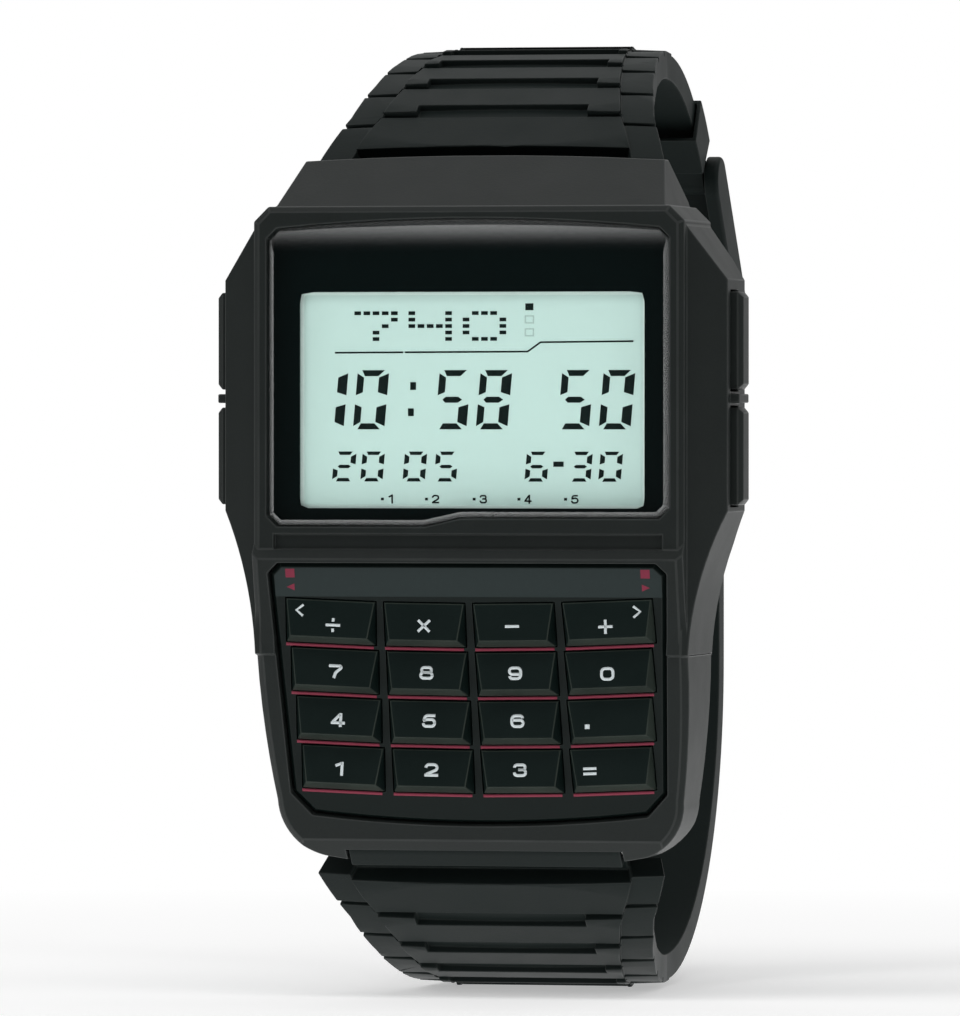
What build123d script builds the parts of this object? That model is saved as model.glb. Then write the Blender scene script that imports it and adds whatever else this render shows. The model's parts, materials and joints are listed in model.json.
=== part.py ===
from build123d import *
import os
from math import atan2, cos, degrees, radians, sin, sqrt, tan

# A buckled resin calculator watch. Lengths are in millimetres and angles in degrees.
# +X is the three o'clock side, +Z is twelve o'clock and the dial faces -Y.
# The origin is the middle of the caseback's outer face.

# Clearances and shared allowances
overrun = 2.0            # how far a cutter runs past what it cuts
fit_gap = 0.1            # between a fixed piece and its seat
running_gap = 0.05       # radial, round a pin or stem that turns or slides
key_gap = 0.07           # round a key in its window
alignment_share = 0.01   # how far a unit normal may be off and still count as aligned
ring_sides = 6           # sides of the wire in the hidden seals and springs

# Coin cell, which settles the case's width
cell_radius = 10.0
cell_thick = 2.5
cell_step = 0.4
cell_gap = 0.15

# Layers, from the worn face to the glass
caseback_thick = 1.0
caseback_proud = 0.5
back_room = 2.2
frame_floor = 0.4
pcb_thick = 0.6
connector_height = 0.6
lcd_thick = 1.0
display_gap = 0.28
gasket_thick = 0.12
glass_thick = 1.3
glass_sink = 0.2
keypad_rise = 0.6        # the rim round the keys stands above the rim round the glass
panel_sink = 0.4
rear_y = -caseback_proud
seat_y = -caseback_thick
frame_back_y = seat_y - back_room
pcb_back_y = frame_back_y - cell_thick - frame_floor
pcb_front_y = pcb_back_y - pcb_thick
lcd_back_y = pcb_front_y - connector_height
cavity_front_y = lcd_back_y - lcd_thick
ledge_y = cavity_front_y - display_gap
glass_back_y = ledge_y - gasket_thick
glass_front_y = glass_back_y - glass_thick
rim_front_y = glass_front_y - glass_sink
keypad_rim_y = rim_front_y - keypad_rise
panel_y = keypad_rim_y + panel_sink

# Cavity
side_room = 2.4          # beside the coin cell
cavity_half_width = cell_radius + side_room
cavity_half_height = 18.9
cavity_corner = 4.0

# Case, seen from the front
side_wall = 2.25
end_wall = 2.0
foot_wall = 4.7
rim_corner = 1.0
rim_bevel = 0.4
flank_turn_run = 17.6    # from the bottom up to where the straight flanks draw in
flank_mid_run = 10.6
flank_draw = 0.1
foot_run = 4.8
foot_draw = 0.75
foot_bulge_run = 2.35
foot_bulge_draw = 1.6
heel_run = 1.0
heel_draw = 3.65
bottom_mid_run = 0.25
bottom_mid_half = 5.6
rim_half_width = cavity_half_width + side_wall
rim_top = cavity_half_height + end_wall
case_bottom_z = -cavity_half_height - foot_wall

# Case, seen from the side
bottom_bevel_run = 2.1
bottom_edge_depth = 2.9  # from the case's rear face to its lowest edge
end_slope_run = 3.1
shoulder_rise = 3.5
shoulder_sink = 0.9
shoulder_back_depth = 3.45
shoulder_edge_depth = 3.1
shoulder_draw = 1.4
shoulder_arch = 0.35
shoulder_taper = 0.95
bottom_bevel_z = case_bottom_z + bottom_bevel_run
bottom_edge_y = rear_y - bottom_edge_depth
shoulder_foot_y = rim_front_y + shoulder_sink
shoulder_top_z = rim_top + shoulder_rise
shoulder_back_y = rear_y - shoulder_back_depth
shoulder_edge_y = rear_y - shoulder_edge_depth
shoulder_foot_half = rim_half_width - shoulder_draw
shoulder_top_half = shoulder_foot_half - shoulder_taper

# Pushers
pusher_length = 6.5
pusher_depth = 2.6
pusher_middle_z = 8.1
pusher_ridge_gap = 0.6   # from the guard ridge's middle to a pusher
pusher_sink = 0.9        # from the board's rear face to the pushers' middle line
pusher_proud = 0.8
pusher_head = 1.5
pusher_floor_gap = 0.9
pusher_gap = 0.12
pusher_bevel = 0.35
stem_radius = 0.8
stem_neck_radius = 0.5
stem_reach = 0.5         # past the cavity's wall
spring_bore_radius = 1.4
spring_bore_depth = 1.4
spring_wire = 0.26
spring_turns = 3
spring_mean_radius = 1.12
seal_wire = 0.6
seal_depth = 1.0
clip_radius = 1.3
clip_thick = 0.25
clip_gap = 0.1
ridge_half_height = 0.3
ridge_proud = 0.65
ridge_depth = 3.4
pusher_spacing = pusher_length / 2 + pusher_ridge_gap
pusher_y = pcb_back_y + pusher_sink

# Wings that carry the pushers
wing_flare = 2.5
wing_margin = 0.8        # past the pushers' ends
wing_low_margin = 0.4
wing_top_run = 3.6
wing_curve_run = 4.2
wing_curve_flare = 0.95
wing_end_run = 9.6
wing_end_flare = 0.1
wing_front_sink = 0.8
wing_edge_sink = 2.6
wing_crest_draw = 0.35
wing_back_chamfer = 0.9
wing_half_width = rim_half_width + wing_flare
wing_shoulder_z = pusher_middle_z + pusher_spacing + pusher_length / 2 + wing_margin
wing_top_z = wing_shoulder_z + wing_top_run
wing_low_z = pusher_middle_z - pusher_spacing - pusher_length / 2 - wing_low_margin
wing_curve_half = rim_half_width + wing_curve_flare
wing_curve_z = wing_low_z - wing_curve_run
wing_end_half = rim_half_width + wing_end_flare
wing_end_z = wing_low_z - wing_end_run
wing_root_half = cavity_half_width + fit_gap
wing_inner_half = rim_half_width - wing_crest_draw
wing_front_y = rim_front_y + wing_front_sink
wing_edge_y = rim_front_y + wing_edge_sink
pusher_face_x = wing_half_width + pusher_proud
pusher_under_x = pusher_face_x - pusher_head
pocket_floor_x = pusher_under_x - pusher_floor_gap
spring_seat_x = pocket_floor_x - spring_bore_depth
seal_x = cavity_half_width + seal_depth
stem_end_x = cavity_half_width - stem_reach

# Glass and its recess
glass_side_margin = 1.05
glass_end_margin = 0.9
glass_arch = 0.65
glass_corner = 0.7
glass_low_left = -0.35
glass_jog_rise = 0.55
glass_jog_left = -2.9
glass_jog_run = 2.4
glass_bevel = 0.35
glass_facet = 2.2
glass_facet_drop = 0.5
gasket_width = 0.55
glass_half_width = rim_half_width - glass_side_margin
glass_top = rim_top - glass_end_margin
glass_side_top = glass_top - glass_arch
glass_low_right = glass_low_left + glass_jog_rise

# Groove below the glass
groove_side_margin = 1.45
groove_margin = 0.6
groove_height = 1.0
groove_depth = 0.35
groove_half_width = rim_half_width - groove_side_margin
groove_top_z = glass_low_left - groove_margin
groove_low_z = groove_top_z - groove_height

# Step up to the tilted keypad
bar_step_run = 0.65
keypad_tilt = 15.0
bar_top_z = groove_low_z
bar_step_z = bar_top_z - bar_step_run

# Keypad panel, in its own tilted plane
panel_margin = 0.3
panel_low_margin = 1.165
panel_side_margin = 1.2
panel_corner = 0.7
panel_taper = 0.7
panel_foot_rise = 2.15
panel_heel_taper = 1.35
panel_heel_rise = 0.7
panel_thick = 1.0
pocket_inset = 0.45
panel_edge_bevel = 0.25
panel_top_z = bar_step_z - panel_margin
panel_low_z = bottom_bevel_z + panel_low_margin
panel_height = (panel_top_z - panel_low_z) / cos(radians(keypad_tilt))
panel_top_half = rim_half_width - panel_side_margin
panel_foot_half = panel_top_half - panel_taper
panel_foot_drop = panel_height - panel_foot_rise
panel_heel_half = panel_foot_half - panel_heel_taper
panel_heel_drop = panel_height - panel_heel_rise

# Keys
key_names = ["divide", "multiply", "minus", "plus", "7", "8", "9", "0",
             "4", "5", "6", "point", "1", "2", "3", "equals"]
key_columns = 4
key_rows = 4
column_middle = 6.1      # from the middle to the gap inside the outer columns
column_gap = 0.62
key_side_margin = 0.95
key_reach_draw = 0.5
first_row_drop = 2.74
keys_low_margin = 2.16
key_row_gap = 0.41
row_arc_radius = 215.0
key_low_edge = 0.12
key_crest = 0.95
key_chamfer = 0.65
key_side_draw = 0.42
key_flange_margin = 0.15
key_flange_thick = 0.3
key_flange_drop = 0.05
row_pitch = (panel_height - first_row_drop - keys_low_margin + key_row_gap) / key_rows
key_height = row_pitch - key_row_gap
key_reach_top = panel_top_half - key_side_margin
key_reach_low = key_reach_top - key_reach_draw

# Key mat and contact board
mat_gap = 0.05
mat_pad_height = 0.2
mat_thick = 0.5
mat_pad_inset = 0.5
board_thick = 0.3
mat_top_drop = panel_thick + key_flange_drop + key_flange_thick + mat_gap
mat_back_drop = mat_top_drop + mat_pad_height + mat_thick
board_back_drop = mat_back_drop + board_thick

# Caseback
caseback_side_margin = 1.05
caseback_margin = 1.0
caseback_corner = 2.2
caseback_bevel = 0.25
back_gasket_inset = 0.1
back_gasket_width = 0.5
back_gasket_depth = 0.45
screw_inset = 1.4
screw_head_radius = 0.9
screw_head_thick = 0.45
screw_radius = 0.5
screw_length = 2.6
screw_slot = 0.25
caseback_half_width = rim_half_width - caseback_side_margin
caseback_half_height = cavity_half_height + caseback_margin
screw_x = caseback_half_width - screw_inset
screw_z = caseback_half_height - screw_inset

# Display stack
lcd_side_gap = 0.4
lcd_low_margin = 0.5
lcd_top_gap = 2.5
lcd_step = 0.5
light_inset = 0.4
light_margin = 1.7
light_thick = 0.35
connector_inset = 0.6
connector_width = 1.1
connector_edge = 0.3
pcb_side_gap = 1.4
pcb_top_gap = 0.5
pcb_low_gap = 0.535
pcb_corner = 1.5
lcd_half_width = cavity_half_width - lcd_side_gap
lcd_low_z = glass_low_right - lcd_low_margin
lcd_top_z = cavity_half_height - lcd_top_gap
light_half_width = lcd_half_width - light_inset
connector_half_width = lcd_half_width - connector_inset
pcb_half_width = cavity_half_width - pcb_side_gap
pcb_top_z = cavity_half_height - pcb_top_gap
board_depth = board_back_drop / cos(radians(keypad_tilt))
pcb_low_z = (panel_top_z - (pcb_front_y - panel_y - board_depth) / tan(radians(keypad_tilt))
             + pcb_low_gap)

# Module frame and what sits in it
frame_gap = 0.2
frame_top_wall = 0.4
notch_wall = 0.15
frame_notch_half = 1.75
chip_inset = 5.0
chip_rise = 2.3
chip_size = 4.2
chip_thick = 0.8
crystal_radius = 0.75
crystal_length = 5.0
crystal_inset = 6.0
crystal_rise = 2.9
clip_bar_gap = 0.2
clip_bar_height = 5.6
clip_bar_thick = 0.25
clip_screw_inset = 1.0
clip_screw_radius = 0.35
clip_screw_head = 0.65
clip_screw_length = 1.6
clip_screw_head_thick = 0.3
finger_inset = 0.5
finger_thick = 0.15
finger_width = 1.4
finger_height = 1.7
cushion_low_margin = 1.1
cushion_top_gap = 1.7
cushion_inset = 1.6
cushion_wall = 2.4
buzzer_radius = 7.0
buzzer_thick = 0.25
buzzer_disc_radius = 5.0
buzzer_disc_thick = 0.15
frame_half_width = cavity_half_width - frame_gap
frame_half_height = cavity_half_height - frame_gap
cell_z = frame_half_height - frame_top_wall - cell_radius
frame_notch_x = cell_radius + cell_gap + notch_wall
chip_x = chip_inset - pcb_half_width
chip_z = pcb_low_z + chip_rise
crystal_x = pcb_half_width - crystal_inset
crystal_z = pcb_low_z + crystal_rise
clip_bar_half = frame_half_width - clip_bar_gap
clip_screw_x = frame_half_width - clip_screw_inset
finger_x = frame_notch_x + finger_inset
cushion_low_z = cushion_low_margin - frame_half_height
cushion_top_z = cell_z - cell_radius - cushion_top_gap
cushion_half_width = frame_half_width - cushion_inset

# Strap ends in the case
lug_angle = 45.2
lug_bar_depth = 3.14     # from the case's rear face
lug_bar_reach = 2.76     # past the cavity's end
bar_inset = 2.3
slot_gap = 0.15
knuckle_radius = 1.25
lug_bar_radius = 0.75
lug_tip_radius = 0.4
lug_tip_length = 1.4
lug_bar_y = rear_y - lug_bar_depth
lug_bar_z = cavity_half_height + lug_bar_reach

# Strap ring, in the side view
front_radius = 27.0
upper_rear_radius = 19.0
band_thick = 1.8
layer_gap = 0.75         # between the inner half and the tail over it
hinge_angle = 54.5
band_middle_radius = front_radius - band_thick / 2
lug_cos, lug_sin = cos(radians(lug_angle)), sin(radians(lug_angle))
ring_mid_y = lug_bar_y + bar_inset * lug_cos + band_middle_radius * lug_sin
upper_front_z = lug_bar_z + bar_inset * lug_sin - band_middle_radius * lug_cos
ring_top = upper_front_z + front_radius
upper_rear_z = ring_top - upper_rear_radius
tail_inner_radius = upper_rear_radius + layer_gap
tail_outer_radius = tail_inner_radius + band_thick
lower_rear_radius = tail_outer_radius
lower_rear_z = lower_rear_radius - ring_top
rear_outer_y = ring_mid_y + lower_rear_radius
hinge_radius = upper_rear_radius - band_thick / 2

# Strap, seen from the front
strap_side_gap = 0.2
strap_lug_run = 0.64     # depth from the spring bar to the first bend of the edge
second_run = 4.0
third_run = 4.0
fourth_run = 5.0
end_run = 7.0
second_taper = 1.6
third_taper = 0.85
fourth_taper = 0.7
end_taper = 0.65
tongue_inset = 2.8
tail_corner = 4.6
strap_lug_half = shoulder_top_half - strap_side_gap
strap_second_half = strap_lug_half - second_taper
strap_third_half = strap_second_half - third_taper
strap_fourth_half = strap_third_half - fourth_taper
strap_end_half = strap_fourth_half - end_taper
strap_lug_y = lug_bar_y + strap_lug_run
strap_second_y = strap_lug_y + second_run
strap_third_y = strap_second_y + third_run
strap_fourth_y = strap_third_y + fourth_run
strap_end_y = strap_fourth_y + end_run
tongue_half_width = strap_lug_half - tongue_inset
tail_tip_half = strap_end_half - tail_corner

# Rows on the strap
row_count = 6
strap_row_pitch = 3.92
upper_first_run = 1.1    # from the lug line along the twelve o'clock half
lower_first_run = 0.3    # the same along the six o'clock half
row_gap = 0.35
row_high = 0.55
row_low = 0.22
row_sink = 0.8
strap_crown = 0.4        # how far the strap's edges lie below its middle
side_band = 2.3
side_lag = 0.95
side_high = 0.32
side_low = 0.1
notch_half_width = 5.85
notch_length = 0.85
end_recess = 0.9
root_recess_run = 1.2    # how far the recess runs from the lug line towards the spring bar
upper_row_angle = lug_angle - degrees(upper_first_run / front_radius)
lower_row_angle = lug_angle - degrees(lower_first_run / front_radius)

# Adjustment holes, the first placed along the strap from the buckle's hinge
hole_length = 4.4
hole_width = 2.3
hole_pitch = 5.5
tang_hole_run = 3.42
hole_count = 6
tang_hole_angle = hinge_angle + degrees(tang_hole_run / upper_rear_radius)

# Buckle and keeper, placed along the strap from the hinge
arm_gap = 0.15
arm_width = 1.0
arm_radius = 1.7
far_bar_run = 10.6
far_bar_radius = 1.0
far_bar_gap = 0.2
buckle_bar_radius = 0.7
buckle_tip_radius = 0.45
hinge_slot_half = 1.4
hinge_slot_reach = 3.3
tang_half_width = 0.7
tang_thick = 0.8
tang_loop_wall = 0.55
tang_bend_run = 5.3
tang_bend_rise = 0.95
tang_tip_run = 1.3
tang_rest_gap = 0.12
keeper_run = 4.7
keeper_width = 4.2
keeper_wall = 0.3
keeper_gap = 0.1
keeper_room = 1.0        # left inside the empty keeper, which hangs from its outer wall
tail_run = 2.6           # from the hinge to the tail's end
far_bar_angle = hinge_angle + degrees(far_bar_run / upper_rear_radius)
far_bar_centre_radius = tail_outer_radius + far_bar_gap + far_bar_radius
tang_bend_angle = hinge_angle + degrees(tang_bend_run / upper_rear_radius)
keeper_angle = hinge_angle - degrees(keeper_run / upper_rear_radius)
tail_end_angle = hinge_angle - degrees(tail_run / upper_rear_radius)
arm_inner_x = strap_end_half + arm_gap
arm_outer_x = arm_inner_x + arm_width


def facing(y):
    """The plane of the dial at one depth: x to the right, y up, normal to the viewer."""
    return Plane(origin=(0, y, 0), x_dir=(1, 0, 0), z_dir=(0, -1, 0))


def slab(face, front, back):
    """A drawing in the plane of the dial, given its depth."""
    return extrude(facing(back) * face, amount=back - front, dir=(0, -1, 0))


def keypad(drop):
    """The tilted plane of the keypad, dropped below the panel's surface."""
    rise_y = -cos(radians(keypad_tilt))
    rise_z = -sin(radians(keypad_tilt))
    origin = (0, panel_y - drop * rise_y, panel_top_z - drop * rise_z)
    return Plane(origin=origin, x_dir=(1, 0, 0), z_dir=(0, rise_y, rise_z))


def pad_slab(face, rise, drop):
    """A drawing in the keypad's plane, from a drop below its surface to a rise above it."""
    return extrude(keypad(drop) * face, amount=drop + rise, dir=keypad(0).z_dir)


def faces_along(face, direction):
    """Whether a flat face looks in a direction."""
    return (face.normal_at() - direction).length < alignment_share


def across(face, half_width):
    """A side view drawn in depth and height, given its width."""
    return extrude(Plane.YZ * face, amount=half_width, both=True)


def from_side(face, start_x, end_x):
    """A side view given a width between two places along X."""
    plane = Plane(origin=(start_x, 0, 0), x_dir=(0, 1, 0), z_dir=(1, 0, 0))
    return extrude(plane * face, amount=end_x - start_x, dir=(1, 0, 0))


def block(low, high):
    """A box between two corners."""
    size = [top - bottom for bottom, top in zip(low, high)]
    middle = [(top + bottom) / 2 for bottom, top in zip(low, high)]
    return Pos(*middle) * Box(*size)


def rod(start, end, radius):
    """A round bar between two points."""
    axis = Vector(*end) - Vector(*start)
    return extrude(Plane(origin=start, z_dir=axis) * Circle(radius), amount=axis.length)


def both_sides(half):
    """A closed face from its right half, drawn from the middle line round to it."""
    return make_face(half + mirror(half, about=Plane.YZ))


def polar(centre_z, radius, angle):
    """A point of the strap's ring; the angle runs from the top towards the rear."""
    turn = radians(angle)
    return (ring_mid_y + radius * sin(turn), centre_z + radius * cos(turn))


def sector(centre_z, inner, outer, start, stop):
    """A piece of band between two radii and two angles."""
    middle = (start + stop) / 2
    outer_arc = ThreePointArc(*[polar(centre_z, outer, turn) for turn in (start, middle, stop)])
    inner_arc = ThreePointArc(*[polar(centre_z, inner, turn) for turn in (stop, middle, start)])
    sides = Line(outer_arc @ 1, inner_arc @ 0) + Line(inner_arc @ 1, outer_arc @ 0)
    return make_face(Curve() + outer_arc + inner_arc + sides)


def case_outline():
    """The case without its wings, seen from the front."""
    turn = (rim_half_width, case_bottom_z + flank_turn_run)
    foot = (rim_half_width - foot_draw, case_bottom_z + foot_run)
    heel = (rim_half_width - heel_draw, case_bottom_z + heel_run)
    top = Polyline((0, rim_top), (rim_half_width - rim_corner, rim_top),
                   (rim_half_width, rim_top - rim_corner), turn)
    flank = ThreePointArc(turn, (rim_half_width - flank_draw, case_bottom_z + flank_mid_run), foot)
    corner = ThreePointArc(foot, (rim_half_width - foot_bulge_draw, case_bottom_z + foot_bulge_run),
                           heel)
    bottom = ThreePointArc(heel, (bottom_mid_half, case_bottom_z + bottom_mid_run),
                           (0, case_bottom_z))
    return both_sides(Curve() + top + flank + corner + bottom)


def case_profile():
    """The case in the side view: flat round the glass, tilted round the keys."""
    fall = tan(radians(keypad_tilt))
    bevel_y = keypad_rim_y + (bar_step_z - bottom_bevel_z) * fall
    return Polygon((rear_y, shoulder_top_z - end_slope_run),
                   (shoulder_edge_y, shoulder_top_z), (shoulder_back_y, shoulder_top_z),
                   (shoulder_foot_y, rim_top), (rim_front_y, rim_top),
                   (rim_front_y, bar_top_z), (keypad_rim_y, bar_step_z),
                   (bevel_y, bottom_bevel_z), (bottom_edge_y, case_bottom_z),
                   (rear_y, case_bottom_z + end_slope_run), align=None)


def shoulder_outline():
    """The trapezoid above the glass that slopes back to the strap, its top edge arched."""
    end_z = shoulder_top_z - shoulder_arch
    arch = ThreePointArc((-shoulder_top_half, end_z), (0, shoulder_top_z),
                         (shoulder_top_half, end_z))
    edge = Polyline((shoulder_top_half, end_z), (shoulder_foot_half, rim_top),
                    (shoulder_foot_half, 0), (-shoulder_foot_half, 0),
                    (-shoulder_foot_half, rim_top), (-shoulder_top_half, end_z))
    return make_face(Curve() + arch + edge)


def wing():
    """The right wing: a sloped flank that flares out to carry two pushers."""
    straight = Polyline((wing_end_half, wing_end_z), (wing_root_half, wing_end_z),
                        (wing_root_half, wing_top_z), (rim_half_width, wing_top_z),
                        (wing_half_width, wing_shoulder_z), (wing_half_width, wing_low_z))
    curve = ThreePointArc((wing_half_width, wing_low_z), (wing_curve_half, wing_curve_z),
                          (wing_end_half, wing_end_z))
    plan = slab(make_face(Curve() + straight + curve), wing_front_y, rear_y)
    section = Polygon((wing_root_half, rear_y), (wing_half_width - wing_back_chamfer, rear_y),
                      (wing_half_width, rear_y - wing_back_chamfer),
                      (wing_half_width, wing_edge_y), (wing_inner_half, wing_front_y),
                      (wing_root_half, wing_front_y), align=None)
    height = wing_top_z - wing_end_z
    return plan & extrude(Plane.XY.offset(wing_end_z) * section, amount=height, dir=(0, 0, 1))


def glass_outline(margin):
    """The glass: arched along the top, with one step in its lower edge."""
    side = glass_half_width + margin
    side_top = glass_side_top + margin
    low_left = glass_low_left - margin
    low_right = glass_low_right - margin
    arch = ThreePointArc((-side + glass_corner, side_top), (0, glass_top + margin),
                         (side - glass_corner, side_top))
    edge = Polyline((side - glass_corner, side_top), (side, side_top - glass_corner),
                    (side, low_right + glass_corner), (side - glass_corner, low_right),
                    (glass_jog_left + glass_jog_run, low_right), (glass_jog_left, low_left),
                    (-side + glass_corner, low_left), (-side, low_left + glass_corner),
                    (-side, side_top - glass_corner), (-side + glass_corner, side_top))
    return make_face(Curve() + arch + edge)


def panel_outline(inset):
    """The keypad panel in its own plane, its top edge at zero."""
    top = panel_top_half - inset
    foot = panel_foot_half - inset
    heel = panel_heel_half - inset / 2
    edge = Polyline((0, -inset), (top - panel_corner, -inset), (top, -inset - panel_corner),
                    (foot, -panel_foot_drop))
    heel_y = -panel_heel_drop + inset
    corner = Line((foot, -panel_foot_drop), (heel, heel_y))
    low = -panel_height + inset
    half = Curve() + edge + corner
    base = ThreePointArc((heel, heel_y), (0, low), (-heel, heel_y))
    return make_face(half + mirror(half, about=Plane.YZ) + base)


def key_place(row, column):
    """A key's middle, turn and width in the keypad's plane."""
    share = row / (key_rows - 1)
    reach = key_reach_top + (key_reach_low - key_reach_top) * share
    edges = [-reach, -column_middle - column_gap / 2, -column_middle + column_gap / 2,
             -column_gap / 2, column_gap / 2, column_middle - column_gap / 2,
             column_middle + column_gap / 2, reach]
    left, right = edges[2 * column], edges[2 * column + 1]
    middle = (left + right) / 2
    lift = middle * middle / (2 * row_arc_radius)
    height = -first_row_drop - row * row_pitch - key_height / 2 + lift
    turn = degrees(middle / row_arc_radius)
    return Location((middle, height, 0), (0, 0, turn)), right - left


def key(row, column):
    """One wedge key: flush at its upper edge, raised at the lower, on a flange below the panel."""
    place, width = key_place(row, column)
    half = key_height / 2
    stem = panel_thick + key_flange_drop
    side = Polygon((half, -stem), (half, key_low_edge), (-half + key_chamfer, key_crest),
                   (-half, key_low_edge), (-half, -stem), align=None)
    ends = Polygon((-width / 2, -stem), (-width / 2, 0),
                   (-width / 2 + key_side_draw, key_crest), (width / 2 - key_side_draw, key_crest),
                   (width / 2, 0), (width / 2, -stem), align=None)
    wedge = extrude(Plane.YZ * side, amount=width, both=True)
    drawn = extrude(Plane.XZ * ends, amount=key_height, both=True)
    flange_size = (width + 2 * key_flange_margin, key_height + 2 * key_flange_margin / 2)
    flange = extrude(Plane.XY.offset(-stem) * Rectangle(*flange_size), amount=-key_flange_thick)
    return keypad(0) * place * ((wedge & drawn) + flange)


def key_windows():
    """Cutters for the sixteen windows of the panel."""
    cutters = []
    for row in range(key_rows):
        for column in range(key_columns):
            place, width = key_place(row, column)
            window = Rectangle(width + 2 * key_gap, key_height + 2 * key_gap)
            depth = panel_thick + overrun
            cutters.append(keypad(0) * place * extrude(window, amount=depth, both=True))
    return cutters


def keypad_panel():
    """The tilted plate with a window for every key."""
    plate = pad_slab(panel_outline(0), 0, panel_thick)
    front = plate.faces().filter_by(lambda face: faces_along(face, keypad(0).z_dir))
    plate = chamfer(front.edges(), panel_edge_bevel)
    return plate - key_windows()


def key_mat():
    """The rubber sheet that seals the keys and springs them back."""
    top = mat_top_drop + mat_pad_height
    mat = pad_slab(panel_outline(pocket_inset + fit_gap), -top, mat_back_drop)
    for row in range(key_rows):
        for column in range(key_columns):
            place, width = key_place(row, column)
            pad = Rectangle(width - 2 * mat_pad_inset, key_height - 2 * mat_pad_inset)
            mat += keypad(top) * place * extrude(pad, amount=mat_pad_height)
    return mat


def key_contact_board():
    """The thin board with the key contacts, between the mat and the module."""
    return pad_slab(panel_outline(pocket_inset + fit_gap), -mat_back_drop, board_back_drop)


def pusher_heights():
    """The middles of the upper and the lower pusher."""
    return [pusher_middle_z + pusher_spacing, pusher_middle_z - pusher_spacing]


def on_side(solid, side):
    """A piece drawn on the right, mirrored when it is on the left."""
    return solid if side > 0 else mirror(solid, about=Plane.YZ)


def pusher_cutters(z):
    """Pocket, spring bore, stem bore and seal groove for one pusher on the right."""
    half_depth = pusher_depth / 2 + pusher_gap
    half_length = pusher_length / 2 + pusher_gap
    pocket = block((pocket_floor_x, pusher_y - half_depth, z - half_length),
                   (pusher_face_x + overrun, pusher_y + half_depth, z + half_length))
    spring_bore = rod((spring_seat_x, pusher_y, z), (pocket_floor_x + fit_gap, pusher_y, z),
                      spring_bore_radius)
    stem_bore = rod((cavity_half_width - overrun, pusher_y, z), (pocket_floor_x, pusher_y, z),
                    stem_radius + running_gap)
    seal_groove = rod((seal_x - seal_wire / 2 - running_gap, pusher_y, z),
                      (seal_x + seal_wire / 2 + running_gap, pusher_y, z),
                      stem_radius + seal_wire + running_gap)
    return [pocket, spring_bore, stem_bore, seal_groove]


def tongue_profile(margin, run):
    """The strap's tongue from its knuckle outwards, in the side view."""
    half = knuckle_radius + margin
    strip = Pos(run / 2, 0) * Rectangle(run, 2 * half)
    return Location((lug_bar_y, lug_bar_z), lug_angle) * (Circle(half) + strip)


def upper_and_lower(solid):
    """A piece at twelve o'clock and its mirror image at six."""
    return [solid, mirror(solid, about=Plane.XY)]


def case_cutters():
    """Everything that is cut from the case."""
    cutters = [slab(glass_outline(fit_gap), rim_front_y - overrun, ledge_y)]
    cavity = RectangleRounded(2 * cavity_half_width, 2 * cavity_half_height, cavity_corner)
    deep = slab(cavity, cavity_front_y, seat_y)
    under_keys = pad_slab(Pos(0, -panel_height) * Rectangle(4 * rim_half_width, 4 * panel_height),
                          -board_back_drop, board_back_drop + panel_height)
    above_keys = slab(Rectangle(4 * rim_half_width, 2 * rim_top, align=(Align.CENTER, Align.MIN)),
                      cavity_front_y, 0)
    cutters.append(deep & (under_keys + Pos(0, 0, bar_step_z) * above_keys))
    view_low_z = glass_low_right + gasket_width
    view = Rectangle(2 * cavity_half_width, cavity_half_height - view_low_z,
                     align=(Align.CENTER, Align.MIN))
    cutters.append(slab(Pos(0, view_low_z) * view, glass_back_y, cavity_front_y))
    cutters.append(pad_slab(panel_outline(-fit_gap), overrun, panel_thick))
    cutters.append(pad_slab(panel_outline(pocket_inset), 0, board_back_drop))
    cutters.append(block((-groove_half_width, rim_front_y - overrun, groove_low_z),
                         (groove_half_width, rim_front_y + groove_depth, groove_top_z)))
    for z in pusher_heights():
        for cutter in pusher_cutters(z):
            cutters += [cutter, mirror(cutter, about=Plane.YZ)]
    plate = RectangleRounded(2 * (caseback_half_width + fit_gap),
                             2 * (caseback_half_height + fit_gap), caseback_corner + fit_gap)
    cutters.append(slab(plate, seat_y, overrun))
    cutters.append(back_gasket(running_gap))
    for x in (-screw_x, screw_x):
        for z in (-screw_z, screw_z):
            cutters.append(rod((x, seat_y, z), (x, -screw_length - fit_gap, z),
                               screw_radius + running_gap))
    slot = across(tongue_profile(slot_gap, 4 * knuckle_radius), tongue_half_width + slot_gap)
    tip_x = tongue_half_width + slot_gap + lug_tip_length + fit_gap
    bar_hole = rod((-tip_x, lug_bar_y, lug_bar_z), (tip_x, lug_bar_y, lug_bar_z),
                   lug_tip_radius + running_gap)
    cutters += upper_and_lower(slot) + upper_and_lower(bar_hole)
    return cutters


def case():
    """The one-piece resin case."""
    depth = slab(case_outline(), keypad_rim_y, rear_y)
    shoulder = slab(shoulder_outline(), rim_front_y, rear_y)
    body = (depth + shoulder) & across(case_profile(), 2 * rim_half_width)
    rims = body.faces().filter_by(lambda face: faces_along(face, facing(0).z_dir)
                                  or faces_along(face, keypad(0).z_dir))
    outer = rims.edges().filter_by(lambda edge: edge.center().Z < bottom_bevel_z
                                   or abs(edge.center().X) > bottom_mid_half
                                   or edge.center().Z > rim_top - rim_bevel)
    body = chamfer(outer, rim_bevel)
    right = wing()
    body += [right, mirror(right, about=Plane.YZ)]
    ridge = block((rim_half_width, pusher_y - ridge_depth / 2, pusher_middle_z - ridge_half_height),
                  (wing_half_width + ridge_proud, pusher_y + ridge_depth / 2,
                   pusher_middle_z + ridge_half_height))
    body += [ridge, mirror(ridge, about=Plane.YZ)]
    return body - case_cutters()


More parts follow.
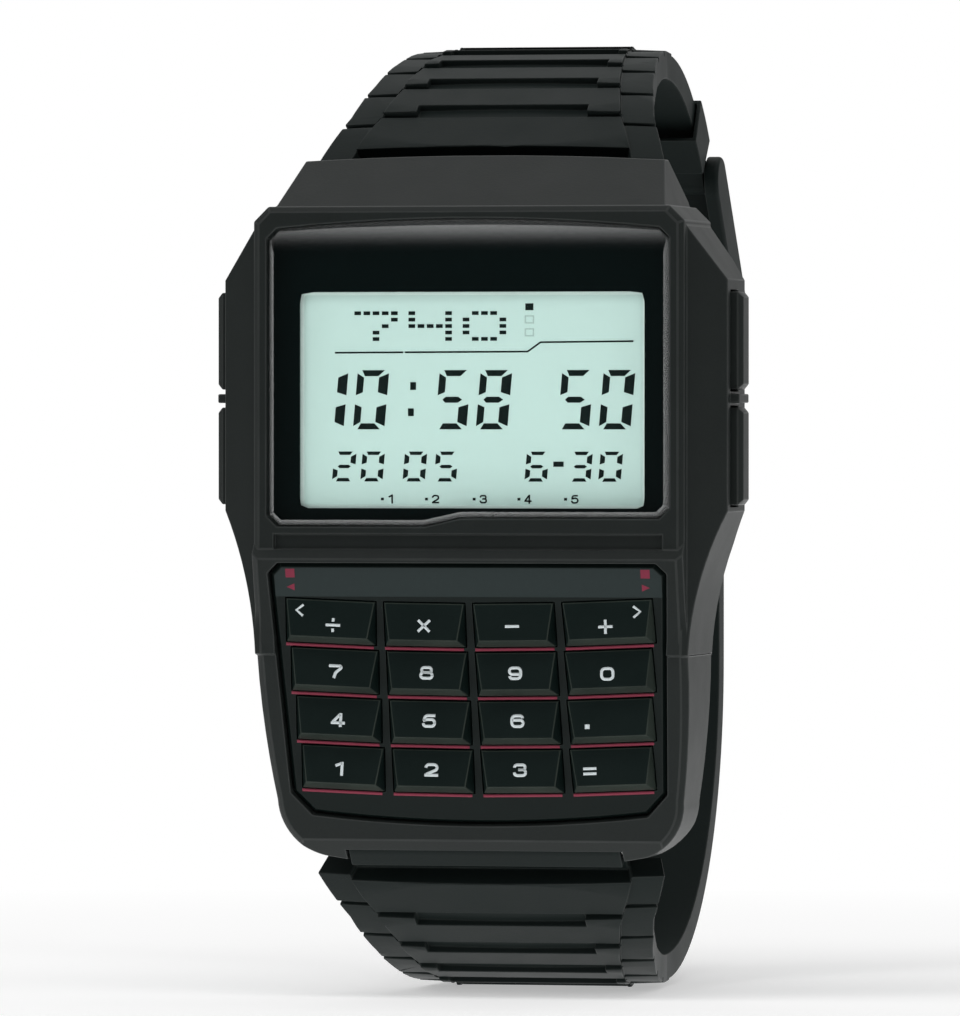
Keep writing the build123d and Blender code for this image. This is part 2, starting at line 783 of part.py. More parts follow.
def glass():
    """The glass, bevelled all round and sloped along its top."""
    pane = slab(glass_outline(0), glass_front_y, glass_back_y)
    front = pane.faces().sort_by(Axis.Y)[0]
    pane = chamfer(front.edges(), glass_bevel)
    facet = Polygon((glass_front_y, glass_top - glass_facet), (glass_front_y - overrun, glass_top),
                    (glass_front_y - overrun, glass_top + overrun),
                    (glass_front_y + glass_facet_drop * (1 + overrun / glass_facet),
                     glass_top + overrun), align=None)
    return pane - across(facet, 2 * glass_half_width)


def glass_gasket():
    """The thin adhesive frame under the glass."""
    ring = glass_outline(-fit_gap) - glass_outline(-gasket_width)
    return slab(ring, glass_back_y, ledge_y)


def pusher(z):
    """One side button on the right: head with bevelled edges, stem with a clip groove."""
    head = block((pusher_under_x, pusher_y - pusher_depth / 2, z - pusher_length / 2),
                 (pusher_face_x, pusher_y + pusher_depth / 2, z + pusher_length / 2))
    outer = head.faces().sort_by(Axis.X)[-1]
    head = chamfer(outer.edges(), pusher_bevel)
    stem = rod((stem_end_x, pusher_y, z), (pusher_under_x, pusher_y, z), stem_radius)
    groove_x = cavity_half_width - clip_gap
    groove = rod((groove_x - clip_thick, pusher_y, z), (groove_x, pusher_y, z), 2 * stem_radius)
    core = rod((groove_x - clip_thick, pusher_y, z), (groove_x, pusher_y, z), stem_neck_radius)
    return head + (stem - groove + core)


def pusher_clip(z):
    """The open spring clip that keeps a pusher in the case."""
    start = cavity_half_width - clip_gap - clip_thick
    plane = Plane(origin=(start, pusher_y, z), x_dir=(0, 1, 0), z_dir=(1, 0, 0))
    mouth = Pos(0, clip_radius) * Rectangle(stem_radius, 2 * clip_radius)
    ring = Circle(clip_radius) - Circle(stem_neck_radius) - mouth
    return extrude(plane * ring, amount=clip_thick, dir=(1, 0, 0))


def pusher_spring(z):
    """The coil spring round a stem, between the case and the pusher's head."""
    length = pusher_under_x - spring_seat_x - spring_wire - 2 * running_gap
    start = spring_seat_x + spring_wire / 2 + running_gap
    path = Helix(pitch=length / spring_turns, height=length, radius=spring_mean_radius)
    place = Plane(origin=(start, pusher_y, z), x_dir=(0, 1, 0), z_dir=(1, 0, 0))
    path = place * path
    wire = Plane(origin=path @ 0, z_dir=path % 0) * RegularPolygon(spring_wire / 2, ring_sides)
    return sweep(wire, path=path, is_frenet=True)


def pusher_seals():
    """The four O-rings round the stems."""
    section = Pos(stem_radius + running_gap + seal_wire / 2, 0) * RegularPolygon(
        (seal_wire - running_gap) / 2, ring_sides)
    ring = Rot(0, 90, 0) * revolve(Plane.XZ * section, axis=Axis.Z)
    places = [(side * seal_x, pusher_y, z) for side in (-1, 1) for z in pusher_heights()]
    return Compound(children=[Pos(*place) * ring for place in places])


def back_gasket(margin):
    """The rubber ring between the case and its back."""
    inner = back_gasket_inset - margin
    outer = back_gasket_inset + back_gasket_width + margin
    ring = (RectangleRounded(2 * (cavity_half_width + outer), 2 * (cavity_half_height + outer),
                             cavity_corner + outer)
            - RectangleRounded(2 * (cavity_half_width + inner), 2 * (cavity_half_height + inner),
                               cavity_corner + inner))
    return slab(ring, seat_y - back_gasket_depth, seat_y)


def caseback():
    """The steel back with countersunk screw holes."""
    plate = RectangleRounded(2 * caseback_half_width, 2 * caseback_half_height, caseback_corner)
    back = slab(plate, seat_y, 0)
    back = chamfer(back.faces().sort_by(Axis.Y)[-1].edges(), caseback_bevel)
    for x in (-screw_x, screw_x):
        for z in (-screw_z, screw_z):
            back -= rod((x, 0, z), (x, seat_y - overrun, z), screw_radius + running_gap)
            back -= rod((x, overrun, z), (x, -screw_head_thick, z), screw_head_radius + running_gap)
    return back


def slotted_screw(head_radius, head_thick, radius, length, slot):
    """A screw whose head's outer face is at zero, pointing to -Y."""
    screw = rod((0, 0, 0), (0, -head_thick, 0), head_radius)
    screw += rod((0, -head_thick, 0), (0, -length, 0), radius)
    cut = block((-head_radius - slot, -head_thick / 2, -slot / 2), (head_radius + slot, slot, slot / 2))
    return screw - cut


def caseback_screws():
    """The four screws of the back."""
    screw = slotted_screw(screw_head_radius, screw_head_thick, screw_radius, screw_length, screw_slot)
    places = [(x, z) for x in (-screw_x, screw_x) for z in (-screw_z, screw_z)]
    return Compound(children=[Pos(x, 0, z) * screw for x, z in places])


def lcd_panel():
    """Two bonded sheets of glass; the front one is shorter, which bares the contact edges."""
    half = lcd_thick / 2
    front = block((-lcd_half_width, cavity_front_y, lcd_low_z + lcd_step),
                  (lcd_half_width, cavity_front_y + half, lcd_top_z - lcd_step))
    rear = block((-lcd_half_width, cavity_front_y + half, lcd_low_z),
                 (lcd_half_width, lcd_back_y, lcd_top_z))
    return front + rear


def light_panel():
    """The thin backlight behind the display."""
    return block((-light_half_width, lcd_back_y, lcd_low_z + light_margin),
                 (light_half_width, lcd_back_y + light_thick, lcd_top_z - light_margin))


def zebra_connectors():
    """The two rubber strips that join the display to the board."""
    strips = []
    for low in (lcd_low_z + connector_edge, lcd_top_z - connector_edge - connector_width):
        strips.append(block((-connector_half_width, lcd_back_y, low),
                            (connector_half_width, pcb_front_y, low + connector_width)))
    return Compound(children=strips)


def circuit_board():
    """The circuit board."""
    middle = (pcb_low_z + pcb_top_z) / 2
    board = RectangleRounded(2 * pcb_half_width, pcb_top_z - pcb_low_z, pcb_corner)
    return slab(Pos(0, middle) * board, pcb_front_y, pcb_back_y)


def control_chip():
    """The processor on the back of the board."""
    half = chip_size / 2
    return block((chip_x - half, pcb_back_y, chip_z - half),
                 (chip_x + half, pcb_back_y + chip_thick, chip_z + half))


def quartz_crystal():
    """The crystal's can."""
    y = pcb_back_y + crystal_radius
    half = crystal_length / 2
    return rod((crystal_x - half, y, crystal_z), (crystal_x + half, y, crystal_z), crystal_radius)


def module_frame():
    """The moulded frame that holds the board, the cell and the key contacts."""
    plate = RectangleRounded(2 * frame_half_width, 2 * frame_half_height, cavity_corner)
    body = slab(plate, pcb_back_y, frame_back_y)
    deep_plate = Pos(0, -frame_half_height) * Rectangle(2 * frame_half_width, 2 * frame_half_height)
    wedge = slab(plate & (deep_plate - Pos(0, pcb_low_z - fit_gap) * Rectangle(
        4 * frame_half_width, 2 * frame_half_height, align=(Align.CENTER, Align.MIN))),
        panel_y, pcb_back_y)
    under = pad_slab(Rectangle(6 * frame_half_width, 8 * frame_half_height), -board_back_drop,
                     board_back_drop + 2 * frame_half_height)
    keep = slab(Pos(0, pcb_low_z) * Rectangle(4 * frame_half_width, 2 * frame_half_height,
                align=(Align.CENTER, Align.MIN)), panel_y, 0)
    body = (body + wedge) & (under + keep)
    cuts = [rod((0, pcb_back_y - overrun, cell_z), (0, frame_back_y + overrun, cell_z),
                cell_radius + cell_gap)]
    half = chip_size / 2 + cell_gap
    cuts.append(block((chip_x - half, pcb_back_y - overrun / 2, chip_z - half),
                      (chip_x + half, pcb_back_y + chip_thick + fit_gap, chip_z + half)))
    reach = crystal_length / 2 + cell_gap
    wide = crystal_radius + cell_gap
    cuts.append(block((crystal_x - reach, pcb_back_y - overrun / 2, crystal_z - wide),
                      (crystal_x + reach, pcb_back_y + 2 * wide, crystal_z + wide)))
    for side in (-1, 1):
        for z in pusher_heights():
            inner, outer = sorted((side * frame_notch_x, side * (frame_half_width + overrun)))
            cuts.append(block((inner, pcb_back_y - overrun, z - frame_notch_half),
                              (outer, frame_back_y + overrun, z + frame_notch_half)))
        x = side * clip_screw_x
        cuts.append(rod((x, frame_back_y, cell_z), (x, frame_back_y - clip_screw_length, cell_z),
                        clip_screw_radius + running_gap))
    return body - cuts


def coin_cell():
    """The coin cell, its smaller pole towards the board."""
    back = frame_back_y - running_gap
    front = back - cell_thick
    can = rod((0, front + cell_step, cell_z), (0, back, cell_z), cell_radius)
    pole = rod((0, front, cell_z), (0, front + cell_step, cell_z), cell_radius - 2 * cell_step)
    return can + pole


def battery_clip():
    """The sprung strap across the cell."""
    half = clip_bar_height / 2
    bar = block((-clip_bar_half, frame_back_y, cell_z - half),
                (clip_bar_half, frame_back_y + clip_bar_thick, cell_z + half))
    for x in (-clip_screw_x, clip_screw_x):
        bar -= rod((x, frame_back_y - overrun, cell_z), (x, frame_back_y + overrun, cell_z),
                   clip_screw_radius + running_gap)
    return bar


def clip_screws():
    """The two screws of the battery clip."""
    screw = slotted_screw(clip_screw_head, clip_screw_head_thick, clip_screw_radius,
                          clip_screw_length, screw_slot)
    y = frame_back_y + clip_bar_thick + clip_screw_head_thick
    return Compound(children=[Pos(x, y, cell_z) * screw for x in (-clip_screw_x, clip_screw_x)])


def switch_springs():
    """The four contact fingers that the pushers press."""
    fingers = []
    for side in (-1, 1):
        for z in pusher_heights():
            inner, outer = sorted((side * finger_x, side * (finger_x - finger_thick)))
            fingers.append(block((inner, pcb_back_y, z - finger_width / 2),
                                 (outer, pcb_back_y + finger_height, z + finger_width / 2)))
    return Compound(children=fingers)


def module_cushion():
    """The rubber pad that presses the module against the key contacts."""
    middle = (cushion_low_z + cushion_top_z) / 2
    height = cushion_top_z - cushion_low_z
    outer = RectangleRounded(2 * cushion_half_width, height, cushion_wall)
    inner = Rectangle(2 * (cushion_half_width - cushion_wall), height - 2 * cushion_wall)
    return slab(Pos(0, middle) * (outer - inner), frame_back_y, seat_y - fit_gap)


def buzzer_disc():
    """The sounder bonded inside the back."""
    plate = rod((0, seat_y, cell_z), (0, seat_y - buzzer_thick, cell_z), buzzer_radius)
    disc_y = seat_y - buzzer_thick
    return plate + rod((0, disc_y, cell_z), (0, disc_y - buzzer_disc_thick, cell_z), buzzer_disc_radius)


def strap_plan(inset):
    """The strap's taper, seen from above, cut to any height."""
    half = [(rim_front_y, strap_lug_half), (strap_lug_y, strap_lug_half),
            (strap_second_y, strap_second_half), (strap_third_y, strap_third_half),
            (strap_fourth_y, strap_fourth_half), (strap_end_y, strap_end_half),
            (rear_outer_y + overrun, strap_end_half)]
    right = [(width - inset, y) for y, width in half]
    left = [(inset - width, y) for y, width in reversed(half)]
    face = Polygon(*right, *left, align=None)
    return extrude(Plane.XY * face, amount=ring_top + overrun, both=True)


def crowned(solid, radius):
    """What lies inside a barrel round the front arc's axis, lowest at the strap's edges."""
    edge = radius - strap_crown
    arc = ThreePointArc((-strap_lug_half, edge), (0, radius), (strap_lug_half, edge))
    sides = Polyline((strap_lug_half, edge), (strap_lug_half, 0), (-strap_lug_half, 0),
                     (-strap_lug_half, edge))
    middle = (0, ring_mid_y, upper_front_z)
    face = Plane(origin=middle, x_dir=(1, 0, 0), z_dir=(0, -1, 0)) * make_face(Curve() + arc + sides)
    return solid & revolve(face, axis=Axis(middle, (1, 0, 0)))


def slat(start, length, high, low):
    """One row of the strap in the side view, thickest at its edge nearest the case."""
    turn = degrees(length / front_radius)
    root = front_radius - row_sink
    return Polygon(polar(upper_front_z, root, start),
                   polar(upper_front_z, front_radius + high, start),
                   polar(upper_front_z, front_radius + low, start + turn),
                   polar(upper_front_z, root, start + turn), align=None)


def strap_rows(first_angle):
    """The stepped rows: a raised middle band with notched edges and lower side bands."""
    pitch_turn = degrees(strap_row_pitch / front_radius)
    lag_turn = degrees(side_lag / front_radius)
    notch_turn = degrees(notch_length / front_radius)
    middle = []
    sides = []
    for row in range(row_count):
        start = -first_angle + row * pitch_turn
        length = strap_row_pitch - row_gap
        rib = across(slat(start, length, row_high, row_low), strap_lug_half)
        if row > 0:
            notch = slat(start - notch_turn, 2 * notch_length, 2 * row_high, 2 * row_high)
            rib -= across(notch, notch_half_width)
        middle.append(rib)
        side_start = max(start - lag_turn, -lug_angle) if row > 0 else -lug_angle
        side_length = radians(start - lag_turn + pitch_turn - side_start) * front_radius - row_gap
        sides.append(across(slat(side_start, side_length, side_high, side_low), strap_lug_half))
    inner = strap_plan(side_band)
    ring = strap_plan(0) - inner
    bands = [crowned(rib & inner, front_radius + row_high) for rib in middle]
    return bands + [crowned(rib & ring, front_radius + side_high) for rib in sides]


def lug_end():
    """The strap's tongue and knuckle with the bore for the spring bar."""
    reach = bar_inset + band_thick
    bore = Pos(lug_bar_y, lug_bar_z) * Circle(lug_bar_radius + running_gap)
    tongue = across(tongue_profile(0, reach) - bore, tongue_half_width)
    beyond = across(sector(upper_front_z, front_radius - 4 * band_thick,
                           front_radius + row_high, -lug_angle + degrees(
                               band_thick / front_radius), 0), 2 * strap_lug_half)
    root = sector(upper_front_z, front_radius - end_recess, front_radius + overrun,
                  -lug_angle - degrees(root_recess_run / front_radius), 0)
    return tongue - beyond - across(root, 2 * strap_lug_half)


def end_recess_cut(first_angle):
    """The dark step between the case and the first row."""
    start = -lug_angle - degrees(root_recess_run / front_radius)
    groove = sector(upper_front_z, front_radius - end_recess, front_radius + overrun, start,
                    -first_angle)
    return across(groove, 2 * strap_lug_half) & strap_plan(side_band)


def front_half(first_angle):
    """What both strap halves share: band, lug end and rows, for the twelve o'clock side."""
    profile = sector(upper_front_z, front_radius - band_thick, front_radius + overrun, -lug_angle, 0)
    band = crowned(across(profile, strap_lug_half) & strap_plan(0), front_radius)
    bore = rod((-strap_lug_half, lug_bar_y, lug_bar_z), (strap_lug_half, lug_bar_y, lug_bar_z),
               lug_bar_radius + running_gap)
    rows = strap_rows(first_angle)
    return (band - end_recess_cut(first_angle)) + rows + lug_end() - bore


def strap_upper():
    """The twelve o'clock half, which carries the buckle."""
    inner = upper_rear_radius - band_thick
    rear = sector(upper_rear_z, inner, upper_rear_radius, 0, hinge_angle)
    half = front_half(upper_row_angle) + (across(rear, strap_lug_half) & strap_plan(0))
    hinge_y, hinge_z = polar(upper_rear_z, hinge_radius, hinge_angle)
    knuckle = Pos(hinge_y, hinge_z) * Circle(band_thick / 2 + running_gap)
    end = across(knuckle, strap_end_half)
    half += end
    bore = rod((-strap_lug_half, hinge_y, hinge_z), (strap_lug_half, hinge_y, hinge_z),
               buckle_bar_radius)
    slot_start = hinge_angle - degrees(hinge_slot_reach / hinge_radius)
    slot = sector(upper_rear_z, inner - overrun, upper_rear_radius + overrun, slot_start,
                  hinge_angle + lug_angle / 4)
    return half - bore - across(slot, hinge_slot_half)


def hole_places():
    """Adjustment holes as (depth, height, turn) along the six o'clock half."""
    radius = (tail_inner_radius + tail_outer_radius) / 2
    step = degrees(hole_pitch / radius)
    places = []
    for index in range(hole_count):
        angle = tang_hole_angle + index * step
        if angle < 90:
            y, z = polar(upper_rear_z, radius, angle)
            places.append((y, z, 90 - angle))
        else:
            run = radians(angle - 90) * radius
            places.append((ring_mid_y + radius, upper_rear_z - run, 0))
    return places


def strap_lower():
    """The six o'clock half: band, holes and the tail that lies over the other half."""
    half = mirror(front_half(lower_row_angle), about=Plane.XY)
    bottom = sector(-lower_rear_z, lower_rear_radius - band_thick, lower_rear_radius, 0, 90)
    rear_low = mirror(across(bottom, strap_lug_half), about=Plane.XY)
    straight = block((-strap_lug_half, rear_outer_y - band_thick, lower_rear_z),
                     (strap_lug_half, rear_outer_y, upper_rear_z))
    tail = across(sector(upper_rear_z, tail_inner_radius, tail_outer_radius, tail_end_angle, 90),
                  strap_lug_half)
    rear = (rear_low + straight + tail) & strap_plan(0)
    half += rear
    for y, z, turn in hole_places():
        cutter = extrude(SlotOverall(hole_length, hole_width, rotation=90), amount=2 * band_thick,
                         both=True)
        half -= Pos(0, y, z) * Rot(turn, 0, 0) * Rot(90, 0, 0) * cutter
    return half - tail_tip_cut()


def tail_tip_cut():
    """Takes the tail's two corners off."""
    cuts = []
    tip_y, tip_z = polar(upper_rear_z, tail_outer_radius + overrun, tail_end_angle)
    run = strap_end_half - tail_tip_half
    for side in (-1, 1):
        corner = Polygon((side * tail_tip_half, 0), (side * (strap_end_half + overrun), 0),
                         (side * (strap_end_half + overrun), -run - overrun),
                         (side * strap_end_half, -run), align=None)
        plane = Plane(origin=(0, tip_y, tip_z), x_dir=(1, 0, 0),
                      z_dir=(0, sin(radians(tail_end_angle)), cos(radians(tail_end_angle))))
        cuts.append(extrude(plane * mirror(corner, about=Plane.XZ), amount=-4 * band_thick,
                            dir=plane.z_dir))
    return cuts


def lug_bars():
    """The two sprung bars that hold the strap in the case."""
    tip = tongue_half_width + slot_gap + lug_tip_length
    bar = rod((-tongue_half_width, lug_bar_y, lug_bar_z), (tongue_half_width, lug_bar_y, lug_bar_z),
              lug_bar_radius)
    bar += rod((-tip, lug_bar_y, lug_bar_z), (tip, lug_bar_y, lug_bar_z), lug_tip_radius)
    return Compound(children=upper_and_lower(bar))


def buckle_points():
    """Hinge bar and far bar in the side view."""
    return (polar(upper_rear_z, hinge_radius, hinge_angle),
            polar(upper_rear_z, far_bar_centre_radius, far_bar_angle))


def buckle_frame():
    """The moulded frame: two arms on the hinge bar, joined by the far bar."""
    hinge, far = buckle_points()
    middle = ((hinge[0] + far[0]) / 2, (hinge[1] + far[1]) / 2)
    run = sqrt((far[0] - hinge[0]) ** 2 + (far[1] - hinge[1]) ** 2)
    lean = degrees(atan2(far[1] - hinge[1], far[0] - hinge[0]))
    profile = Location(middle, lean) * SlotCenterToCenter(run, 2 * arm_radius)
    frame = from_side(profile, arm_inner_x, arm_outer_x)
    frame = fillet(frame.faces().sort_by(Axis.X)[-1].edges(), arm_width / 4)
    frame += mirror(frame, about=Plane.YZ)
    frame += rod((-arm_inner_x, *far), (arm_inner_x, *far), far_bar_radius)
    tip = arm_inner_x + arm_width / 2
    return frame - rod((-tip, *hinge), (tip, *hinge), buckle_tip_radius + running_gap)


def buckle_bar():
    """The bar through the strap's end and both arms."""
    hinge, far = buckle_points()
    tip = arm_inner_x + arm_width / 2 - fit_gap
    bar = rod((-strap_end_half, *hinge), (strap_end_half, *hinge), buckle_bar_radius)
    return bar + rod((-tip, *hinge), (tip, *hinge), buckle_tip_radius)


def buckle_tang():
    """The steel tongue: a loop on the bar, through the strap's hole and over the far bar."""
    hinge, far = buckle_points()
    loop = Pos(*hinge) * Circle(buckle_bar_radius + running_gap + tang_loop_wall)
    bend = polar(upper_rear_z, tail_outer_radius + tang_bend_rise, tang_bend_angle)
    rest = far_bar_centre_radius + far_bar_radius + tang_rest_gap + tang_thick / 2
    over = polar(upper_rear_z, rest, far_bar_angle)
    tip = polar(upper_rear_z, rest, far_bar_angle + degrees(tang_tip_run / rest))
    prong = Sketch() + [Pos(*place) * Circle(tang_thick / 2) for place in (bend, over, tip)]
    for start, end in ((hinge, bend), (bend, over), (over, tip)):
        prong += strip_between(start, end, tang_thick)
    body = loop + prong - Pos(*hinge) * Circle(buckle_bar_radius + running_gap)
    return across(body, tang_half_width)


def strip_between(start, end, width):
    """A straight strip of one width in the side view."""
    run = sqrt((end[0] - start[0]) ** 2 + (end[1] - start[1]) ** 2)
    middle = ((start[0] + end[0]) / 2, (start[1] + end[1]) / 2)
    lean = degrees(atan2(end[1] - start[1], end[0] - start[0]))
    return Location(middle, lean) * Rectangle(run, width)


def keeper_loop():
    """The free loop, empty at this strap length, hanging from its outer wall."""
    half_turn = degrees(keeper_width / 2 / upper_rear_radius)
    inner = upper_rear_radius - band_thick - keeper_room
    outer = upper_rear_radius + keeper_gap
    start, stop = keeper_angle - half_turn, keeper_angle + half_turn
    outside = across(sector(upper_rear_z, inner - keeper_wall, outer + keeper_wall, start, stop),
                     strap_end_half + keeper_gap + keeper_wall)
    inside = across(sector(upper_rear_z, inner, outer, start - half_turn, stop + half_turn),
                    strap_end_half + keeper_gap)
    return outside - inside


def all_nodes():
    """Every sub-part by name."""
    nodes = {
        "case": case(), "glass": glass(), "glass_gasket": glass_gasket(),
        "keypad_panel": keypad_panel(), "key_mat": key_mat(),
        "key_contact_board": key_contact_board(), "pusher_seals": pusher_seals(),
        "lcd_panel": lcd_panel(), "light_panel": light_panel(),
        "zebra_connectors": zebra_connectors(), "circuit_board": circuit_board(),
        "control_chip": control_chip(), "quartz_crystal": quartz_crystal(),
        "module_frame": module_frame(), "coin_cell": coin_cell(), "battery_clip": battery_clip(),
        "clip_screws": clip_screws(), "switch_springs": switch_springs(),
        "module_cushion": module_cushion(), "caseback": caseback(),
        "caseback_gasket": back_gasket(0), "caseback_screws": caseback_screws(),
        "buzzer_disc": buzzer_disc(), "strap_upper": strap_upper(), "strap_lower": strap_lower(),
        "lug_bars": lug_bars(), "buckle_frame": buckle_frame(), "buckle_tang": buckle_tang(),
        "buckle_bar": buckle_bar(), "keeper_loop": keeper_loop(),
    }
    for index, name in enumerate(key_names):
        nodes["key_" + name] = key(index // key_columns, index % key_columns)
    for side, side_name in ((-1, "left"), (1, "right")):
        for z, height_name in zip(pusher_heights(), ("upper", "lower")):
            place = height_name + "_" + side_name
            nodes["pusher_" + place] = on_side(pusher(z), side)
            nodes["pusher_clip_" + place] = on_side(pusher_clip(z), side)
            nodes["pusher_spring_" + place] = on_side(pusher_spring(z), side)
    return nodes


os.makedirs("parts", exist_ok=True)
for node_name, shape in all_nodes().items():
    export_step(shape, "parts/" + node_name + ".step")
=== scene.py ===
"""Looks of a buckled calculator watch, built around its packed construction.

Lengths are metres in the construction's own frame: +X is the three o'clock side, +Z is twelve
o'clock, and the dial faces -Y.
"""

import json
import logging
from dataclasses import dataclass, field
from enum import Enum
from math import atan2, cos, pi, radians, sin, tan
from typing import ClassVar

import bmesh
import bpy
from mathutils import Matrix, Vector


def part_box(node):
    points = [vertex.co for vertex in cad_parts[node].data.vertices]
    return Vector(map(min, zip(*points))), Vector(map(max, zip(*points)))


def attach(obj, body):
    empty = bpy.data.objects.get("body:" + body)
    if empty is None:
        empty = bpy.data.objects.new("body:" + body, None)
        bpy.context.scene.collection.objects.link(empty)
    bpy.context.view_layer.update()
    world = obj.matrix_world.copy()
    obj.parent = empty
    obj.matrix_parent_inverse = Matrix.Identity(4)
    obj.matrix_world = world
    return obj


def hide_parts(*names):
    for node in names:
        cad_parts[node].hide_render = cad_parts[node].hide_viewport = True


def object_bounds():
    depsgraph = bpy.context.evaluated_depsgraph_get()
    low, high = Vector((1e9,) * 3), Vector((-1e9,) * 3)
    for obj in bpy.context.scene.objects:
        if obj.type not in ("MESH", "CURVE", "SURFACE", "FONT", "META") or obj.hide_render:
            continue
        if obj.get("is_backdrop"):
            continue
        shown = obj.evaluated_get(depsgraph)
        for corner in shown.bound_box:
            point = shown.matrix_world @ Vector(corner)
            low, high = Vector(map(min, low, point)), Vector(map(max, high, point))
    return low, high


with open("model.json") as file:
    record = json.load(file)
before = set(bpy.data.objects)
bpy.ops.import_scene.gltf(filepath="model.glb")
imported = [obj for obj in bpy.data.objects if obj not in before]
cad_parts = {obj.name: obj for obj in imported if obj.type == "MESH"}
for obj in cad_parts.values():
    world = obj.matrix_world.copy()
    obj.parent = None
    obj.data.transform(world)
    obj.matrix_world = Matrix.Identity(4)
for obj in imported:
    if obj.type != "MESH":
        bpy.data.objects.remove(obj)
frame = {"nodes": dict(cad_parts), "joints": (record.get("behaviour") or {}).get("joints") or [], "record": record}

MM = 0.001
WATCH = "watch"      # the body that the case and most pieces ride on
RUB_AND_SHINE = "rub_and_shine"        # the face attribute that says how pale a face is painted: partly edge wear, partly painted highlights on edges and on the glass
CORNER_STEPS = 5     # in a rounded corner of a drawn line
WELD = 0.002 * MM    # corners nearer to each other than this are one
PARALLEL = 1e-18     # two directions that cross by less than this, in square metres, run alike
SLACK = 1e-6         # past the end of a stretch that a ray still meets, as a share of it
Point = tuple[float, float]
Colour = tuple[float, float, float]
Stroke = tuple[Point, ...]
Sockets = dict[str, "Wire | float | tuple[float, ...]"]

log = logging.getLogger("calculator_watch")


class Brushing(Enum):
    """How a steel surface was brushed."""

    ALONG = "along"
    ROUND = "round"


class Wire:
    """A node's output that takes part in sums, so that shader maths reads as an expression."""

    def __init__(self, sheet: "Sheet", node: bpy.types.Node, key: str | int = 0) -> None:
        """Wraps one output.

        Args:
            sheet: The sheet that the node is on.
            node: The node.
            key: The output's name, identifier or place.
        """
        self.sheet = sheet
        self.node = node
        self.socket = find_socket(node.outputs, key) if len(node.outputs) else None

    def out(self, key: str | int) -> "Wire":
        """Another output of the same node."""
        return Wire(self.sheet, self.node, key)

    def _math(self, operation: str, first: "Wire | float", second: "Wire | float") -> "Wire":
        """One Math node on two values."""
        return self.sheet.node("ShaderNodeMath", {"operation": operation},
                               {"Value": first, "Value_001": second})

    def __add__(self, other: "Wire | float") -> "Wire":
        """This plus another value."""
        return self._math("ADD", self, other)

    def __radd__(self, other: float) -> "Wire":
        """A number plus this."""
        return self._math("ADD", other, self)

    def __sub__(self, other: "Wire | float") -> "Wire":
        """This less another value."""
        return self._math("SUBTRACT", self, other)

    def __rsub__(self, other: float) -> "Wire":
        """A number less this."""
        return self._math("SUBTRACT", other, self)

    def __mul__(self, other: "Wire | float") -> "Wire":
        """This times another value."""
        return self._math("MULTIPLY", self, other)

    def __pow__(self, other: "Wire | float") -> "Wire":
        """This to a power."""
        return self._math("POWER", self, other)

    def most(self, other: "Wire | float") -> "Wire":
        """The larger of this and another value."""
        return self._math("MAXIMUM", self, other)

    def least(self, other: "Wire | float") -> "Wire":
        """The smaller of this and another value."""
        return self._math("MINIMUM", self, other)


def find_socket(sockets: bpy.types.bpy_prop_collection, key: str | int) -> bpy.types.NodeSocket:
    """A socket by its place, identifier or name.

    Args:
        sockets: A node's inputs or outputs.
        key: Place, identifier or name.

    Returns:
        The socket.
    """
    if isinstance(key, int):
        return sockets[key]
    exact = [socket for socket in sockets if socket.identifier == key]
    return exact[0] if exact else sockets[key]


class Sheet:
    """A node tree that is being written."""

    def __init__(self, tree: bpy.types.NodeTree) -> None:
        """Starts on a tree."""
        self.tree = tree

    def node(self, kind: str, settings: dict | None = None, inputs: dict | None = None) -> Wire:
        """Adds a node.

        Args:
            kind: The node's type.
            settings: Its properties.
            inputs: Values or wires for its sockets.

        Returns:
            Its first output.
        """
        made = self.tree.nodes.new(kind)
        for key, value in (settings or {}).items():
            setattr(made, key, value)
        for key, value in (inputs or {}).items():
            socket = find_socket(made.inputs, key)
            if isinstance(value, Wire):
                self.tree.links.new(value.socket, socket)
            else:
                socket.default_value = value
        return Wire(self, made)

    def mix(self, share: Wire | float, first: Wire | Colour, second: Wire | Colour) -> Wire:
        """A colour between two.

        Args:
            share: How much of the second.
            first: A colour.
            second: Another colour.

        Returns:
            The mixed colour.
        """
        sides = [side if isinstance(side, Wire) else (*side, 1.0) for side in (first, second)]
        made = self.node("ShaderNodeMix", {"data_type": "RGBA"},
                         {"Factor_Float": share, "A_Color": sides[0], "B_Color": sides[1]})
        return made.out("Result_Color")

    def place(self, scale: tuple[float, float, float] = (1, 1, 1),
              centre: tuple[float, float, float] = (0, 0, 0)) -> Wire:
        """Object coordinates, moved to a centre and stretched.

        Args:
            scale: The stretch along each axis.
            centre: The place that becomes the middle.

        Returns:
            The coordinates.
        """
        spot = self.node("ShaderNodeTexCoord").out("Object")
        shift = tuple(-part * stretch for part, stretch in zip(centre, scale))
        return self.node("ShaderNodeMapping", {}, {"Vector": spot, "Location": shift, "Scale": scale})

    def noise(self, size: float, detail: float = 2.0, spot: Wire | None = None) -> Wire:
        """Cloudy noise whose blotches have a real size."""
        return self.node("ShaderNodeTexNoise", {},
                         {"Vector": spot or self.place(), "Scale": 1 / size, "Detail": detail})

    def rub_and_shine(self) -> Wire:
        """How pale the mesh says that the surface is painted, partly for wear and partly as a painted highlight.
        """
        return self.node("ShaderNodeAttribute", {"attribute_name": RUB_AND_SHINE}).out("Fac")

    def bump(self, height: Wire, depth: float, strength: float = 1.0) -> Wire:
        """A normal from a height."""
        return self.node("ShaderNodeBump", {},
                         {"Height": height, "Distance": depth, "Strength": strength})


def new_material(name: str) -> tuple[bpy.types.Material, Sheet]:
    """An empty material and the sheet to write it on.

    Args:
        name: The material's name.

    Returns:
        The material and its sheet.
    """
    material = bpy.data.materials.new(name)
    material.use_nodes = True
    material.node_tree.nodes.clear()
    return material, Sheet(material.node_tree)


